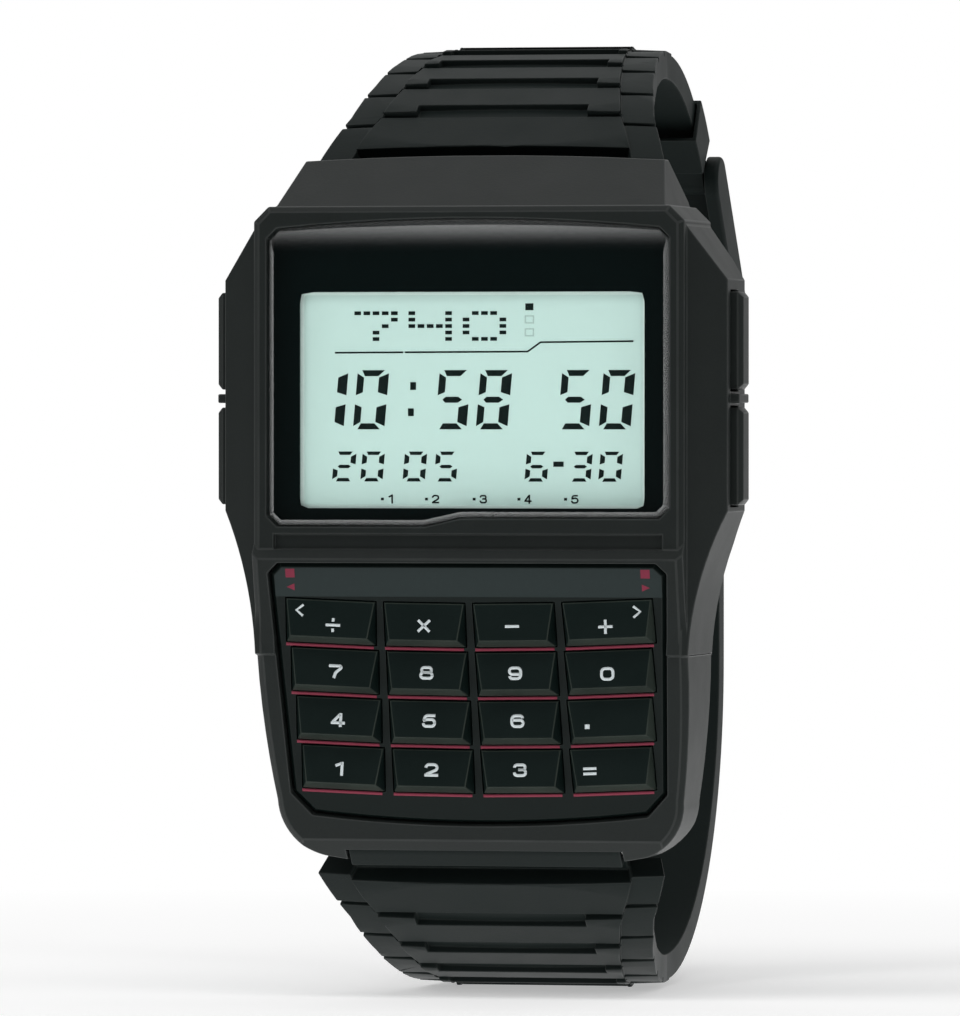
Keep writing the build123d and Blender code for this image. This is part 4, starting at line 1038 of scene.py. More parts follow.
@dataclass
class Glazing:
    """The bevelled glass with the black print behind it."""

    palette: Palette
    window_left: float = -11.73 * MM
    window_right: float = 11.73 * MM
    window_low: float = 0.78 * MM
    window_high: float = 15.2 * MM
    window_corner: float = 0.42 * MM
    mask_thick: float = 0.012 * MM
    mask_inset: float = 0.12 * MM
    facet_strips: int = 14
    facet_shine: float = 0.62    # painted highlight on the rolled top facet's upper edge, fading to its foot
    front_facing: float = 0.9    # the cosine past which a face belongs to the front
    side_facing: float = 0.3     # the cosine below which it belongs to the sides
    facet_lift: float = 0.1      # how far the top facet at least looks up
    crease: float = radians(12)    # an edge that turns by more stays sharp
    outline_turn: float = radians(0.05)    # faces of the outline that turn by less are joined
    mask_step: float = 0.8 * MM    # at most, between points of the mask's outline
    touch: float = 0.01 * MM       # how near to the rear face a corner of its outline lies
    snap: float = 0.001 * MM       # a corner that is this near to a cut lies on it

    def build(self) -> list[bpy.types.Object]:
        """Dresses the glass and lays the mask behind it."""
        return [self._pane(), self._mask()]

    def _pane(self) -> bpy.types.Object:
        """The glass: its top facet is rolled over and painted brighter towards its top edge, and its bevels are
        painted pale as a highlight.

        Returns:
            The dressed glass.
        """
        faces = welded("glass")
        rub_and_shine = faces.faces.layers.float.new(RUB_AND_SHINE)
        # Bevels between the front and the sides get a painted highlight.
        for face in faces.faces:
            face[rub_and_shine] = float(self.side_facing < abs(face.normal.y) < self.front_facing)
            face.smooth = False
        strips = self._rolled(faces)
        # A painted highlight on the facet, strongest at its top edge.
        heights = [strip.calc_center_median().z for strip in strips]
        for strip, height in zip(strips, heights):
            share = (height - min(heights)) / (max(heights) - min(heights))
            strip[rub_and_shine] = self.facet_shine * share
            strip.smooth = True
        for edge in faces.edges:
            edge.smooth = edge.is_manifold and edge.calc_face_angle(0.0) < self.crease
        piece = as_object("glass_dressed", faces, self.palette.slots["mineral_glass"])
        return stand_for(piece, "glass")

    def _rolled(self, faces: bmesh.types.BMesh) -> list[bmesh.types.BMFace]:
        """Cuts the flat top facet into strips that roll over from the front to its top edge.

        Args:
            faces: The glass's faces.

        Returns:
            The strips.
        """
        low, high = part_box("glass")
        tilted = [face for face in faces.faces
                  if face.normal.y < -self.front_facing and face.normal.z > self.facet_lift]
        facet = max(tilted, key=lambda face: face.calc_area())
        foot = min(vert.co.z for vert in facet.verts)
        run = high.z - foot
        drop = run * abs(facet.normal.z / facet.normal.y)
        geometry = [facet, *facet.edges, *facet.verts]
        for step in range(1, self.facet_strips):
            level = Vector((0, 0, foot + run * step / self.facet_strips))
            cut = bmesh.ops.bisect_plane(faces, geom=geometry, plane_co=level, plane_no=(0, 0, 1),
                                         dist=self.snap)
            geometry = cut["geom"]
        strips = [part for part in geometry if isinstance(part, bmesh.types.BMFace)]
        for vert in {vert for strip in strips for vert in strip.verts}:
            vert.co.y = low.y + drop * ((vert.co.z - foot) / run) ** 2
        return strips

    def _mask(self) -> bpy.types.Object:
        """The black border: the glass's own outline with a rounded window.

        Returns:
            The new piece.
        """
        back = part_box("glass")[1].y
        outline = self._glass_outline(back)
        window = rounded(self.window_left, self.window_right, self.window_low, self.window_high,
                         self.window_corner)
        inner = [self._towards(window, point) for point in outline]
        return ring_plate("glass_mask", outline, inner, self.mask_thick,
                          facing_viewer(back), self.palette.inks["mask_ink"], WATCH)

    def _glass_outline(self, depth: float) -> list[Point]:
        """The rear outline of the glass, drawn in a little.

        Args:
            depth: Where the glass's rear face is.

        Returns:
            Closely spaced points, in order round the glass.
        """
        faces = welded("glass", self.outline_turn)
        edge = [vert.co.copy() for vert in faces.verts if abs(vert.co.y - depth) < self.touch]
        faces.free()
        low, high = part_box("glass")
        centre = Vector(((low.x + high.x) / 2, (low.z + high.z) / 2))
        points = sorted(((corner.x, corner.z) for corner in edge),
                        key=lambda point: atan2(point[1] - centre.y, point[0] - centre.x))
        drawn = []
        for x, z in points:
            out = Vector((x, z)) - centre
            drawn.append((x - self.mask_inset * out.x / out.length,
                          z - self.mask_inset * out.y / out.length))
        return dense(drawn, self.mask_step)

    def _towards(self, window: list[Point], point: Point) -> Point:
        """The place on the window's outline in the same direction as an outer point.

        Args:
            window: The window's outline.
            point: The outer point.

        Returns:
            The place.
        """
        centre = Vector(((self.window_left + self.window_right) / 2,
                         (self.window_low + self.window_high) / 2))
        ray = Vector(point) - centre
        best = None
        for index, start in enumerate(window):
            end = window[(index + 1) % len(window)]
            hit = crossing(centre, ray, Vector(start), Vector(end))
            if hit is not None and (best is None or (hit - centre).length > (best - centre).length):
                best = hit
        return (best.x, best.y)


def dense(outline: list[Point], step: float) -> list[Point]:
    """A closed outline with extra points.

    Args:
        outline: Its corners.
        step: No two points are further apart than this.

    Returns:
        The fuller outline.
    """
    made = []
    for index, start in enumerate(outline):
        end = outline[(index + 1) % len(outline)]
        run = (Vector(end) - Vector(start)).length
        count = max(1, int(run / step) + 1)
        made += [tuple(Vector(start).lerp(Vector(end), part / count)) for part in range(count)]
    return made


def crossing(centre: Vector, ray: Vector, start: Vector, end: Vector) -> Vector | None:
    """Where a ray meets a stretch of an outline.

    Args:
        centre: Where the ray begins.
        ray: Its direction.
        start: One end of the stretch.
        end: Its other end.

    Returns:
        The meeting point, or None where they don't meet.
    """
    side = end - start
    turn = ray.x * side.y - ray.y * side.x
    if abs(turn) < PARALLEL:
        return None
    gap = start - centre
    along = (gap.x * side.y - gap.y * side.x) / turn
    share = (gap.x * ray.y - gap.y * ray.x) / turn
    return centre + ray * along if along > 0 and -SLACK <= share <= 1 + SLACK else None


@dataclass(frozen=True)
class Figure:
    """The sizes of a seven-bar figure of the display."""

    width: float
    height: float
    bar: float
    left_post: float
    right_post: float
    gap: float
    middle_gap: float

    BARS: ClassVar[dict[str, str]] = {
        "0": "abcdef", "1": "bc", "2": "abdeg", "3": "abcdg", "4": "bcfg", "5": "acdfg",
        "6": "acdefg", "7": "abc", "8": "abcdefg", "9": "abcdfg"}
    UPPER: ClassVar[dict[str, str]] = {"d": "a", "e": "f", "c": "b"}    # what a lower bar mirrors
    CORNER_SHARE: ClassVar[float] = 0.45    # of a left post, cut off the outer corners
    TIP_SHARE: ClassVar[float] = 0.55       # of a post, left free by the middle bar's tips

    def outlines(self, figure: str, left: float, low: float, lean: float) -> list[list[Point]]:
        """The bars of one figure.

        Args:
            figure: Which figure.
            left: Its left side.
            low: Its foot.
            lean: How far it leans, as a share of height.

        Returns:
            Corners of each bar.
        """
        bars = [self._bar(name) for name in self.BARS[figure]]
        middle = self.height / 2
        return [[(left + x + (y - middle) * lean, low + y) for x, y in bar] for bar in bars]

    def _bar(self, name: str) -> list[Point]:
        """One bar.

        Args:
            name: Its letter, from a at the top round to f, with g in the middle.

        Returns:
            Its corners, from the figure's lower left.
        """
        high, wide, bar, gap = self.height, self.width, self.bar, self.gap
        if name in self.UPPER:
            return [(x, high - y) for x, y in self._bar(self.UPPER[name])]
        middle = high / 2
        corner = self.CORNER_SHARE * self.left_post
        top = [(corner + gap, high), (wide - corner - gap, high),
               (wide - self.right_post - gap / 2, high - bar), (self.left_post + gap / 2, high - bar)]
        left, right = ([(outer, high - corner), (outer, middle + self.middle_gap),
                        (inner, middle + self.middle_gap + bar / 2), (inner, high - bar - gap)]
                       for outer, inner in ((0.0, self.left_post), (wide, wide - self.right_post)))
        cross = [(self.TIP_SHARE * self.left_post + gap, middle),
                 (self.left_post + gap, middle + bar / 2),
                 (wide - self.right_post - gap, middle + bar / 2),
                 (wide - self.TIP_SHARE * self.right_post - gap, middle),
                 (wide - self.right_post - gap, middle - bar / 2),
                 (self.left_post + gap, middle - bar / 2)]
        return {"a": top, "b": right, "f": left, "g": cross}[name]


@dataclass
class Display:
    """What the display shows: figures, dots, small marks and its pale edge."""

    palette: Palette
    glazing: Glazing
    lean: float = tan(radians(5.0))
    panel_edge: float = 0.03 * MM
    ink_thick: float = 0.012 * MM
    edge_width: float = 0.2 * MM
    edge_out: float = 0.05 * MM
    dot_pitch: Point = (0.627 * MM, 0.431 * MM)
    dot_size: Point = (0.456 * MM, 0.25 * MM)
    dot_start: Point = (-7.87 * MM, 13.79 * MM)
    dot_figure_pitch: float = 3.7 * MM
    dot_rows: dict[str, tuple[str, ...]] = field(default_factory=lambda: {
        "7": ("#####", "....#", "...#.", "..#..", "..#.."),
        "4": ("#...#", "#...#", "#####", "....#", "....#"),
        "0": (".###.", "#...#", "#...#", "#...#", ".###.")})
    large: Figure = Figure(2.15 * MM, 3.95 * MM, 0.4 * MM, 0.47 * MM, 0.66 * MM, 0.09 * MM, 0.3 * MM)
    small: Figure = Figure(1.52 * MM, 2.0 * MM, 0.23 * MM, 0.33 * MM, 0.36 * MM, 0.12 * MM, 0.14 * MM)
    large_low: float = 6.04 * MM
    small_low: float = 2.56 * MM
    large_places: tuple[tuple[str, float], ...] = (
        ("1", -10.82 * MM), ("0", -8.03 * MM), ("5", -2.43 * MM), ("8", 0.36 * MM),
        ("5", 5.91 * MM), ("0", 8.72 * MM))
    small_places: tuple[tuple[str, float], ...] = (
        ("2", -9.55 * MM), ("0", -7.61 * MM), ("0", -4.72 * MM), ("5", -2.59 * MM),
        ("6", 3.59 * MM), ("3", 6.55 * MM), ("0", 8.6 * MM))
    colon_x: float = -4.16 * MM
    colon_heights: Point = (7.18 * MM, 8.93 * MM)
    colon_size: Point = (0.4 * MM, 0.52 * MM)
    dash_middle: Point = (5.82 * MM, 3.725 * MM)
    dash_size: Point = (0.7 * MM, 0.35 * MM)
    flag_x: float = 3.84 * MM
    flag_heights: tuple[float, ...] = (14.2 * MM, 13.36 * MM, 12.5 * MM)
    flag_size: Point = (0.55 * MM, 0.46 * MM)
    flag_line: float = 0.09 * MM
    rule: tuple[Stroke, ...] = (
        ((-9.43 * MM, 11.16 * MM), (-4.75 * MM, 11.18 * MM)),
        ((-4.65 * MM, 11.18 * MM), (3.72 * MM, 11.22 * MM), (4.6 * MM, 11.84 * MM),
         (10.9 * MM, 11.9 * MM)))
    rule_width: float = 0.12 * MM
    label_places: tuple[tuple[str, float], ...] = (
        ("1", -5.56 * MM), ("2", -2.55 * MM), ("3", 0.7 * MM), ("4", 3.75 * MM), ("5", 6.92 * MM))
    label_low: float = 1.05 * MM
    label_height: float = 0.68 * MM
    label_dot_gap: float = 0.62 * MM
    label_scale: Point = (0.52, 0.66)
    label_stroke: float = 0.11 * MM
    label_corner: float = 0.14 * MM
    label_dot: Point = (0.2 * MM, 0.18 * MM)

    def build(self) -> list[bpy.types.Object]:
        """Dresses the display's glass and prints what it shows.

        Returns:
            The new pieces.
        """
        panel = Dressing(edge=self.panel_edge).copy("lcd_panel", self.palette.slots["display_glass"])
        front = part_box("lcd_panel")[0].y
        drawing = facing_viewer(front)
        return [panel, self._edge(drawing), self._figures(drawing), self._dots(drawing),
                self._rule(drawing), *self._flags(drawing), *self._labels(drawing)]

    def _edge(self, drawing: Drawing) -> bpy.types.Object:
        """The lighter line round the window.

        Args:
            drawing: The display's front.

        Returns:
            The new piece.
        """
        pane = self.glazing
        out = self.edge_out
        outer = rounded(pane.window_left - out, pane.window_right + out, pane.window_low - out,
                        pane.window_high + out, pane.window_corner)
        width = self.edge_width
        inner = rounded(pane.window_left + width, pane.window_right - width,
                        pane.window_low + width, pane.window_high - width, pane.window_corner / 2)
        return ring_plate("display_edge", outer, inner, self.ink_thick, drawing,
                          self.palette.inks["window_edge"], WATCH)

    def _figures(self, drawing: Drawing) -> bpy.types.Object:
        """The large and the small figures, the colon and the dash.

        Args:
            drawing: The display's front.

        Returns:
            The new piece.
        """
        outlines = []
        for figure, left in self.large_places:
            outlines += self.large.outlines(figure, left, self.large_low, self.lean)
        for figure, left in self.small_places:
            outlines += self.small.outlines(figure, left, self.small_low, self.lean)
        wide, high = self.colon_size
        middle = self.large_low + self.large.height / 2
        for height in self.colon_heights:
            x = self.colon_x + (height - middle) * self.lean
            outlines.append(plate_at(x, height, wide, high))
        outlines.append(plate_at(*self.dash_middle, *self.dash_size))
        return printed("display_figures", outlines, self.ink_thick, drawing,
                       self.palette.inks["segment_ink"], WATCH)

    def _dots(self, drawing: Drawing) -> bpy.types.Object:
        """The row of dotted figures along the top.

        Args:
            drawing: The display's front.

        Returns:
            The new piece.
        """
        points = []
        for index, figure in enumerate(self.dot_rows):
            for row, line in enumerate(self.dot_rows[figure]):
                for column, mark in enumerate(line):
                    if mark == "#":
                        points.append((self.dot_start[0] + index * self.dot_figure_pitch
                                       + column * self.dot_pitch[0],
                                       self.dot_start[1] - row * self.dot_pitch[1]))
        return dot_pattern().grow(
            "display_dots", points, [], {"Dot width": self.dot_size[0], "Dot height": self.dot_size[1],
                                         "Dot thickness": 2 * self.ink_thick},
            self.palette.inks["segment_ink"], drawing, WATCH)

    def _rule(self, drawing: Drawing) -> bpy.types.Object:
        """The thin stepped line under the dotted row, with a hairline gap in it.

        Args:
            drawing: The display's front.

        Returns:
            The new piece.
        """
        points, joints = chained(self.rule)
        return line_pattern(False).grow(
            "display_rule", points, joints,
            {"Line width": self.rule_width, "Line thickness": 2 * self.ink_thick},
            self.palette.inks["segment_ink"], drawing, WATCH)

    def _flags(self, drawing: Drawing) -> list[bpy.types.Object]:
        """One filled flag, with the two unlit ones as faint frames.

        Args:
            drawing: The display's front.

        Returns:
            The two pieces.
        """
        wide, high = self.flag_size
        filled = [plate_at(self.flag_x, self.flag_heights[0], wide, high)]
        flag = printed("display_flag", filled, self.ink_thick, drawing,
                       self.palette.inks["segment_ink"], WATCH)
        line = self.flag_line
        frames = []
        for height in self.flag_heights[1:]:
            for x in (self.flag_x - wide / 2, self.flag_x + wide / 2):
                frames.append(plate_at(x, height, line, high + line))
            for y in (height - high / 2, height + high / 2):
                frames.append(plate_at(self.flag_x, y, wide - line, line))
        unlit = printed("display_flag_frames", frames, self.ink_thick, drawing,
                        self.palette.inks["faint_ink"], WATCH)
        return [flag, unlit]

    def _labels(self, drawing: Drawing) -> list[bpy.types.Object]:
        """The row of small printed numbers, each with a dot before it.

        Args:
            drawing: The display's front.

        Returns:
            The two pieces.
        """
        middle = self.label_low + self.label_height / 2
        points = [(x - self.label_dot_gap, middle) for _, x in self.label_places]
        dots = dot_pattern().grow(
            "display_label_dots", points, [],
            {"Dot width": self.label_dot[0], "Dot height": self.label_dot[1],
             "Dot thickness": 2 * self.ink_thick},
            self.palette.inks["segment_ink"], drawing, WATCH)
        strokes = []
        for figure, x in self.label_places:
            strokes += [tuple((x + across * self.label_scale[0] * MM,
                               middle + up * self.label_scale[1] * MM)
                              for across, up in stroke) for stroke in STROKES[figure]]
        points, joints = chained(tuple(strokes))
        sizes = {"Line width": self.label_stroke, "Line thickness": 2 * self.ink_thick,
                 "Corner radius": self.label_corner}
        numbers = line_pattern(True).grow("display_labels", points, joints, sizes,
                                          self.palette.inks["segment_ink"], drawing, WATCH)
        return [dots, numbers]


def plate_at(x: float, y: float, wide: float, high: float) -> list[Point]:
    """A rectangle about a middle."""
    return [(x - wide / 2, y - high / 2), (x + wide / 2, y - high / 2),
            (x + wide / 2, y + high / 2), (x - wide / 2, y + high / 2)]


@dataclass
class Keypad:
    """The tilted panel, its keys with their signs, the red lines and marks."""

    palette: Palette
    shifts: dict[str, Point] = field(default_factory=lambda: {
        "divide": (0.27, -0.39), "multiply": (0.05, -0.25), "minus": (-0.05, -0.26),
        "plus": (-0.12, -0.43), "7": (0.16, -0.21), "8": (0.04, -0.12), "9": (-0.02, -0.12),
        "0": (-0.08, -0.3), "4": (0.05, -0.22), "5": (0.02, -0.08), "6": (-0.05, -0.06),
        "point": (-1.54, -0.51), "1": (-0.06, -0.24), "2": (-0.01, -0.1), "3": (-0.06, -0.08),
        "equals": (-1.45, -0.22)})
    chevrons: dict[str, Point] = field(default_factory=lambda: {
        "divide": (-2.33, 0.9), "plus": (2.17, 0.91)})
    panel_edge: float = 0.05 * MM
    key_edge: float = 0.06 * MM
    figure_stroke: float = 0.195 * MM
    sign_stroke: float = 0.185 * MM
    point_stroke: float = 0.33 * MM
    chevron_stroke: float = 0.17 * MM
    corner_radius: float = 0.25 * MM
    print_thick: float = 0.016 * MM
    line_width: float = 0.2 * MM
    line_thick: float = 0.03 * MM
    line_drop: float = 0.13 * MM
    flange_margin: float = 0.1 * MM
    line_short: float = 0.2 * MM
    bevel_slope: float = 1.4         # of the bevels that get a painted highlight
    last_column: float = 10 * MM     # keys beyond it also get a painted highlight on their right bevel
    strip_height: float = 2.28 * MM
    strip_thick: float = 0.02 * MM
    strip_margin: float = 0.3 * MM
    strip_top: float = -0.28 * MM
    strip_corner: float = 0.55 * MM
    mark_reach: float = 12.07 * MM
    square_middle: float = -0.66 * MM
    square_size: Point = (0.62 * MM, 0.6 * MM)
    pointer_middle: float = -1.62 * MM
    pointer_tip: float = 0.28 * MM
    pointer_base: float = 0.26 * MM
    pointer_half: float = 0.24 * MM

    def build(self) -> list[bpy.types.Object]:
        """Dresses panel and keys, and prints on them.

        Returns:
            The new pieces.
        """
        panel = Dressing(edge=self.panel_edge).copy("keypad_panel",
                                                    self.palette.slots["panel_resin"])
        keys = [self._key(name) for name in self.shifts]
        strokes = line_pattern(True)
        signs = [self._sign(strokes, name) for name in self.shifts]
        chevrons = [self._chevron(strokes, name) for name in self.chevrons]
        return [panel, *keys, *signs, *chevrons, self._lines(), *self._marks()]

    def _key(self, name: str) -> bpy.types.Object:
        """A dressed key, with a painted highlight on its lower bevel and, in the last column, on its right one.

        Args:
            name: The key's name.

        Returns:
            The new piece.
        """
        plane = self.plane()
        # Directions whose faces get a painted highlight, as if lit from below and from the right.
        low = (plane.normal - plane.up * self.bevel_slope).normalized()
        right = (plane.normal + plane.across * self.bevel_slope).normalized()
        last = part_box("key_" + name)[1].x > self.last_column
        return Dressing(edge=self.key_edge).copy("key_" + name, self.palette.slots["key_resin"],
                                                 (low, right) if last else (low,))

    def plane(self) -> Drawing:
        """The panel's own surface.

        Returns:
            A drawing whose origin is the middle of the panel's top edge.
        """
        joint = next(joint for joint in frame["joints"] if joint["name"].startswith("key_"))
        normal = -Vector(joint["axis"]).normalized()
        across = Vector((1, 0, 0))
        up = normal.cross(across)
        corners = [vert.co for vert in frame["nodes"]["keypad_panel"].data.vertices]
        rise = max(corner.dot(normal) for corner in corners)
        top = max(corner.dot(up) for corner in corners)
        return Drawing(normal * rise + up * top, across, normal)

    def _sign(self, pattern: Pattern, name: str) -> bpy.types.Object:
        """A key's number or sign, on the key's sloped face.

        Args:
            pattern: The pattern that thickens its strokes.
            name: The key's name.

        Returns:
            The new piece.
        """
        width = self.figure_stroke if name.isdigit() else self.sign_stroke
        width = self.point_stroke if name == "point" else width
        return self._stroked(pattern, "sign_" + name, STROKES[name], name, self.shifts[name],
                             width, self.corner_radius)

    def _chevron(self, pattern: Pattern, name: str) -> bpy.types.Object:
        """The pointer in the outer corner of an upper key.

        Args:
            pattern: The pattern that thickens its strokes.
            name: The key's name.

        Returns:
            The new piece.
        """
        x, y = self.chevrons[name]
        side = 1 if x < 0 else -1
        stroke = tuple((side * across, up) for across, up in CHEVRON)
        place = (self.shifts[name][0] + x, self.shifts[name][1] + y)
        return self._stroked(pattern, "chevron_" + name, (stroke,), name, place,
                             self.chevron_stroke, 0.0)

    def _stroked(self, pattern: Pattern, piece: str, strokes: tuple[Stroke, ...],
                 key: str, place: Point, width: float, corner: float) -> bpy.types.Object:
        """Prints strokes on a key's face, as tall from the front as they are drawn.

        Args:
            pattern: The pattern that thickens the strokes.
            piece: The new piece's name.
            strokes: Middle lines in millimetres.
            key: The key that carries them.
            place: Their middle from the face's middle, in millimetres.
            width: The strokes' width.
            corner: The radius of their corners.

        Returns:
            The new piece, riding on the key.
        """
        face = widest_face("key_" + key, Vector((0, -1, 0)))
        tall = 1 / abs(face.normal.y)
        points, joints = chained(strokes)
        points = [(x * MM, y * tall * MM) for x, y in points]
        sizes = {"Line width": width, "Line thickness": self.print_thick, "Corner radius": corner}
        return pattern.grow(piece, points, joints, sizes, self.palette.inks["legend_ink"],
                            face.moved(place[0] * MM, place[1] * MM), body_of_node("key_" + key))

    def _lines(self) -> bpy.types.Object:
        """The red line under each key.

        Returns:
            The lines, as one piece.
        """
        plane = self.plane()
        points = []
        joints = []
        for name in self.shifts:
            node = frame["nodes"]["key_" + name]
            across = widest_face("key_" + name, Vector((0, -1, 0))).across
            down = -plane.normal.cross(across)
            places = [vert.co - plane.origin for vert in node.data.vertices]
            left = min(place.dot(across) for place in places) + self.flange_margin
            right = max(place.dot(across) for place in places) - self.flange_margin - self.line_short
            foot = max(place.dot(down) for place in places) + self.line_drop
            for reach in (left, right):
                spot = across * reach + down * foot
                points.append((spot.dot(plane.across), spot.dot(plane.up)))
            joints.append((len(points) - 2, len(points) - 1))
        return line_pattern(False).grow(
            "key_lines", points, joints,
            {"Line width": self.line_width, "Line thickness": self.line_thick},
            self.palette.inks["line_ink"], plane, WATCH)

    def _marks(self) -> list[bpy.types.Object]:
        """The greyer strip along the panel's top, with a red square and triangle at each end.

        Returns:
            The strip, and the marks as one piece.
        """
        plane = self.plane()
        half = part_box("keypad_panel")[1].x - self.strip_margin
        top = self.strip_top
        corner = self.strip_corner
        outline = [(-half, -self.strip_height), (half, -self.strip_height), (half, top - corner),
                   (half - corner, top), (-half + corner, top), (-half, top - corner)]
        strip = printed("panel_strip", [outline], self.strip_thick, plane,
                        self.palette.inks["strip_ink"], WATCH)
        raised = plane.moved(0, 0, self.strip_thick / 2)
        outlines = []
        for side in (-1, 1):
            middle = side * self.mark_reach
            outlines.append(plate_at(middle, self.square_middle, *self.square_size))
            tip = middle + side * self.pointer_tip
            base = middle - side * self.pointer_base
            outlines.append([(tip, self.pointer_middle), (base, self.pointer_middle + self.pointer_half),
                             (base, self.pointer_middle - self.pointer_half)])
        marks = printed("panel_marks", outlines, self.strip_thick, raised,
                        self.palette.inks["mark_ink"], WATCH)
        return [strip, marks]


@dataclass
class Buttons:
    """The four side pushers."""

    palette: Palette
    edge: float = 0.07 * MM

    def build(self) -> list[bpy.types.Object]:
        """Dresses each pusher."""
        places = [height + "_" + side for height in ("upper", "lower") for side in ("left", "right")]
        return [Dressing(edge=self.edge).copy("pusher_" + place, self.palette.slots["case_resin"])
                for place in places]


@dataclass
class Strap:
    """The two strap halves with their bars, buckle and keeper."""

    palette: Palette
    band_edge: float = 0.1 * MM
    metal_edge: float = 0.04 * MM

    def build(self) -> list[bpy.types.Object]:
        """Dresses the soft parts and the metal ones.

        Returns:
            The new pieces.
        """
        resin = self.palette.slots["strap_resin"]
        steel = self.palette.slots["steel"]
        band = [Dressing(edge=self.band_edge).copy(node, resin)
                for node in ("strap_upper", "strap_lower", "buckle_frame", "keeper_loop")]
        metal = [Dressing(edge=self.metal_edge).copy(node, steel)
                 for node in ("buckle_tang", "buckle_bar", "lug_bars")]
        return band + metal


def direction(azimuth: float, elevation: float) -> Vector:
    """From the watch towards a place in front of the dial, in radians right and up."""
    return Vector((sin(azimuth) * cos(elevation), -cos(azimuth) * cos(elevation), sin(elevation)))


def aimed(name: str, data: bpy.types.ID, target: Vector, place: Vector) -> bpy.types.Object:
    """A camera or lamp that looks at something.

    Args:
        name: Its name.
        data: The camera or the lamp.
        target: What it looks at.
        place: Where it stands.

    Returns:
        Its object.
    """
    holder = bpy.data.objects.new(name, data)
    holder.location = place
    holder.rotation_mode = "QUATERNION"
    holder.rotation_quaternion = (target - place).to_track_quat("-Z", "Y")
    bpy.context.scene.collection.objects.link(holder)
    return holder


@dataclass(frozen=True)
class Lamp:
    """A rectangular soft lamp aimed at the watch."""

    name: str
    azimuth: float
    elevation: float
    distance: float
    size: Point
    power: float

    def hang(self, target: Vector) -> None:
        """Puts the lamp in its place.

        Args:
            target: What it is aimed at.
        """
        lamp = bpy.data.lights.new(self.name, "AREA")
        lamp.shape = "RECTANGLE"
        lamp.size, lamp.size_y = self.size
        lamp.energy = self.power
        aimed(self.name, lamp, target, target + direction(self.azimuth, self.elevation) * self.distance)


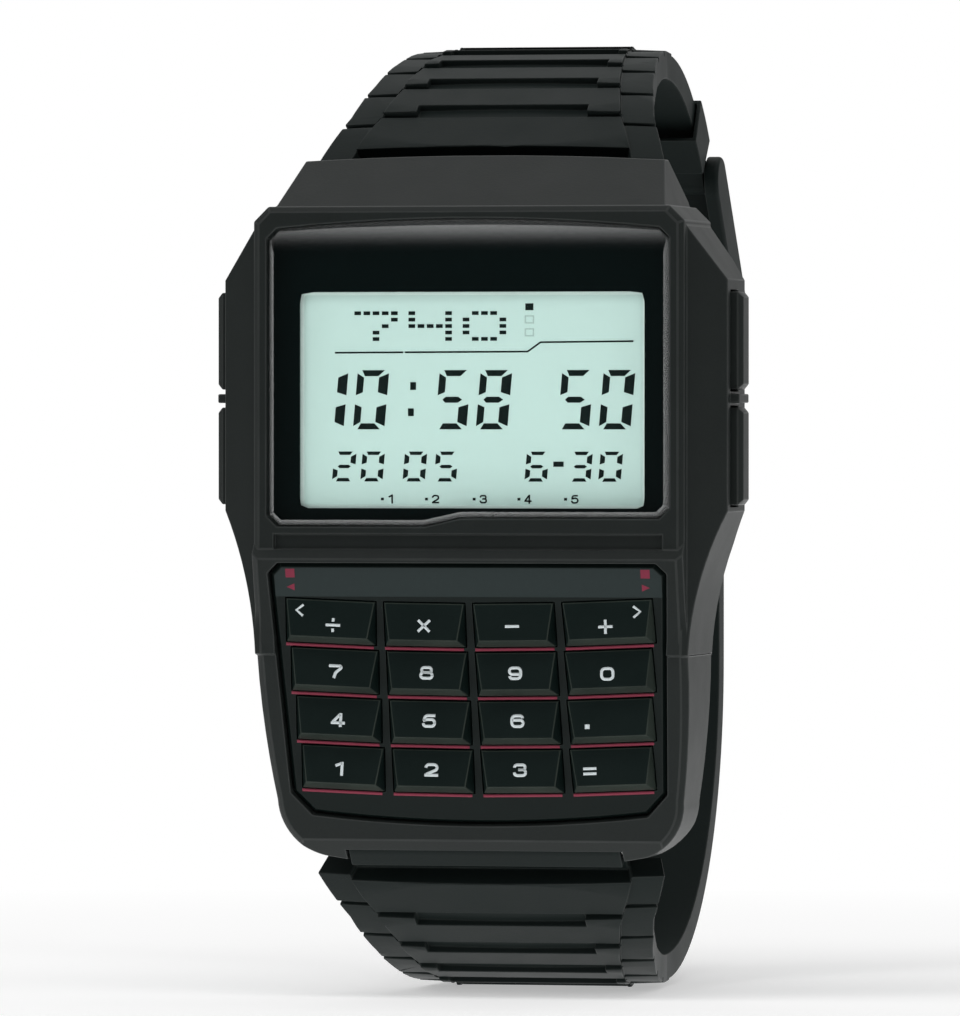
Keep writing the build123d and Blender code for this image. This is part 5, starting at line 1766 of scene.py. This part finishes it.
@dataclass
class Studio:
    """Camera, lamps, world and floor."""

    target: tuple[float, float, float] = (0.48 * MM, -8.3 * MM, 0.8 * MM)
    distance: float = 0.7
    azimuth: float = radians(12.0)
    elevation: float = radians(0.5)
    lens: float = 372.2
    lamps: tuple[Lamp, ...] = (
        Lamp("left_lamp", radians(-52), radians(26), 0.8, (0.45, 0.5), 2.5),
        Lamp("top_lamp", radians(4), radians(58), 0.8, (0.7, 0.25), 2.3),
        Lamp("right_lamp", radians(68), radians(12), 0.7, (0.2, 0.6), 1.0))
    room: float = 0.04
    behind: float = 0.5
    overhead: float = 2.6    # what polished faces that look up mirror
    behind_ramp: Point = (-0.1, 2.0)    # where the background begins, and how fast it brightens
    above_ramp: Point = (0.1, 1.4)
    floor_half: float = 0.2
    floor_near: float = 0.05
    floor_far: float = 0.17
    floor_glow: float = 0.4  # for the camera, so that the shadow stays faint
    floor_bounce: float = 1.7    # for everything else, so that lower faces are lit
    floor_drop: float = 0.02 * MM

    def build(self) -> None:
        """Makes everything that isn't the watch."""
        self._camera()
        self._world()
        self._floor()
        for lamp in self.lamps:
            lamp.hang(Vector(self.target))
        bpy.context.scene.view_settings.view_transform = "Standard"

    def _camera(self) -> None:
        """The camera at the photograph's angle."""
        camera = bpy.data.cameras.new("camera")
        camera.lens = self.lens
        camera.clip_start = 0.05
        target = Vector(self.target)
        place = target + direction(self.azimuth, self.elevation) * self.distance
        bpy.context.scene.camera = aimed("camera", camera, target, place)

    def _world(self) -> None:
        """White to the camera and in what mirrors the background; dim in front of the dial."""
        world = bpy.data.worlds.new("studio")
        bpy.context.scene.world = world
        world.use_nodes = True
        world.node_tree.nodes.clear()
        sheet = Sheet(world.node_tree)
        path = sheet.node("ShaderNodeLightPath")
        way = sheet.node("ShaderNodeTexCoord").out("Generated")
        way = sheet.node("ShaderNodeSeparateXYZ", {}, {"Vector": way})
        behind, above = (((way.out(axis) - start) * rise).most(0.0).least(1.0)
                         for axis, (start, rise) in (("Y", self.behind_ramp),
                                                     ("Z", self.above_ramp)))
        seen = path.out("Is Camera Ray").most(path.out("Is Transmission Ray"))
        mirrored = path.out("Is Glossy Ray") * behind.most(above * above * self.overhead)
        strength = seen.most(mirrored).most(self.room + behind * self.behind)
        light = sheet.node("ShaderNodeBackground", {}, {"Color": (1, 1, 1, 1), "Strength": strength})
        sheet.node("ShaderNodeOutputWorld", {}, {"Surface": light})

    def _floor(self) -> None:
        """The pale floor: for the camera it keeps its shadow near the watch and fades to white."""
        material, sheet = new_material("studio_floor")
        camera = sheet.node("ShaderNodeLightPath").out("Is Camera Ray")
        away = sheet.node("ShaderNodeVectorMath", {"operation": "LENGTH"},
                          {"Vector": sheet.place()}).out("Value")
        fade = (away - self.floor_near) * (1 / (self.floor_far - self.floor_near))
        diffuse = sheet.node("ShaderNodeBsdfDiffuse", {}, {"Color": (0.8, 0.8, 0.8, 1.0)})
        glow = sheet.node("ShaderNodeEmission", {}, {"Strength": self.floor_glow})
        bounce = sheet.node("ShaderNodeEmission", {}, {"Strength": self.floor_bounce})
        white = sheet.node("ShaderNodeEmission", {}, {"Strength": 1.0})
        near = sheet.node("ShaderNodeAddShader", {}, {0: diffuse, 1: glow})
        lighting = sheet.node("ShaderNodeAddShader", {}, {0: diffuse, 1: bounce})
        shown = sheet.node("ShaderNodeMixShader", {}, {
            "Fac": fade.most(0.0).least(1.0), 1: near, 2: white})
        shader = sheet.node("ShaderNodeMixShader", {}, {"Fac": camera, 1: lighting, 2: shown})
        close_material(sheet, shader)
        faces = bmesh.new()
        bmesh.ops.create_grid(faces, x_segments=1, y_segments=1, size=self.floor_half)
        bmesh.ops.translate(faces, verts=faces.verts, vec=(0, 0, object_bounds()[0].z - self.floor_drop))
        as_object("studio_floor", faces, material)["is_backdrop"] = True


def main() -> None:
    """Builds each sub-assembly in order and reports its pieces."""
    logging.basicConfig(level=logging.INFO, format="%(message)s")
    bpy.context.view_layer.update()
    palette = Palette()
    palette.fill()
    palette.dress_nodes()
    glazing = Glazing(palette)
    for part in (Shell(palette), glazing, Display(palette, glazing), Keypad(palette),
                 Buttons(palette), Strap(palette)):
        for piece in part.build():
            log.info("%s: %s, %d faces", type(part).__name__, piece.name, len(piece.data.polygons))
    Studio().build()


if __name__ == "__main__":
    main()
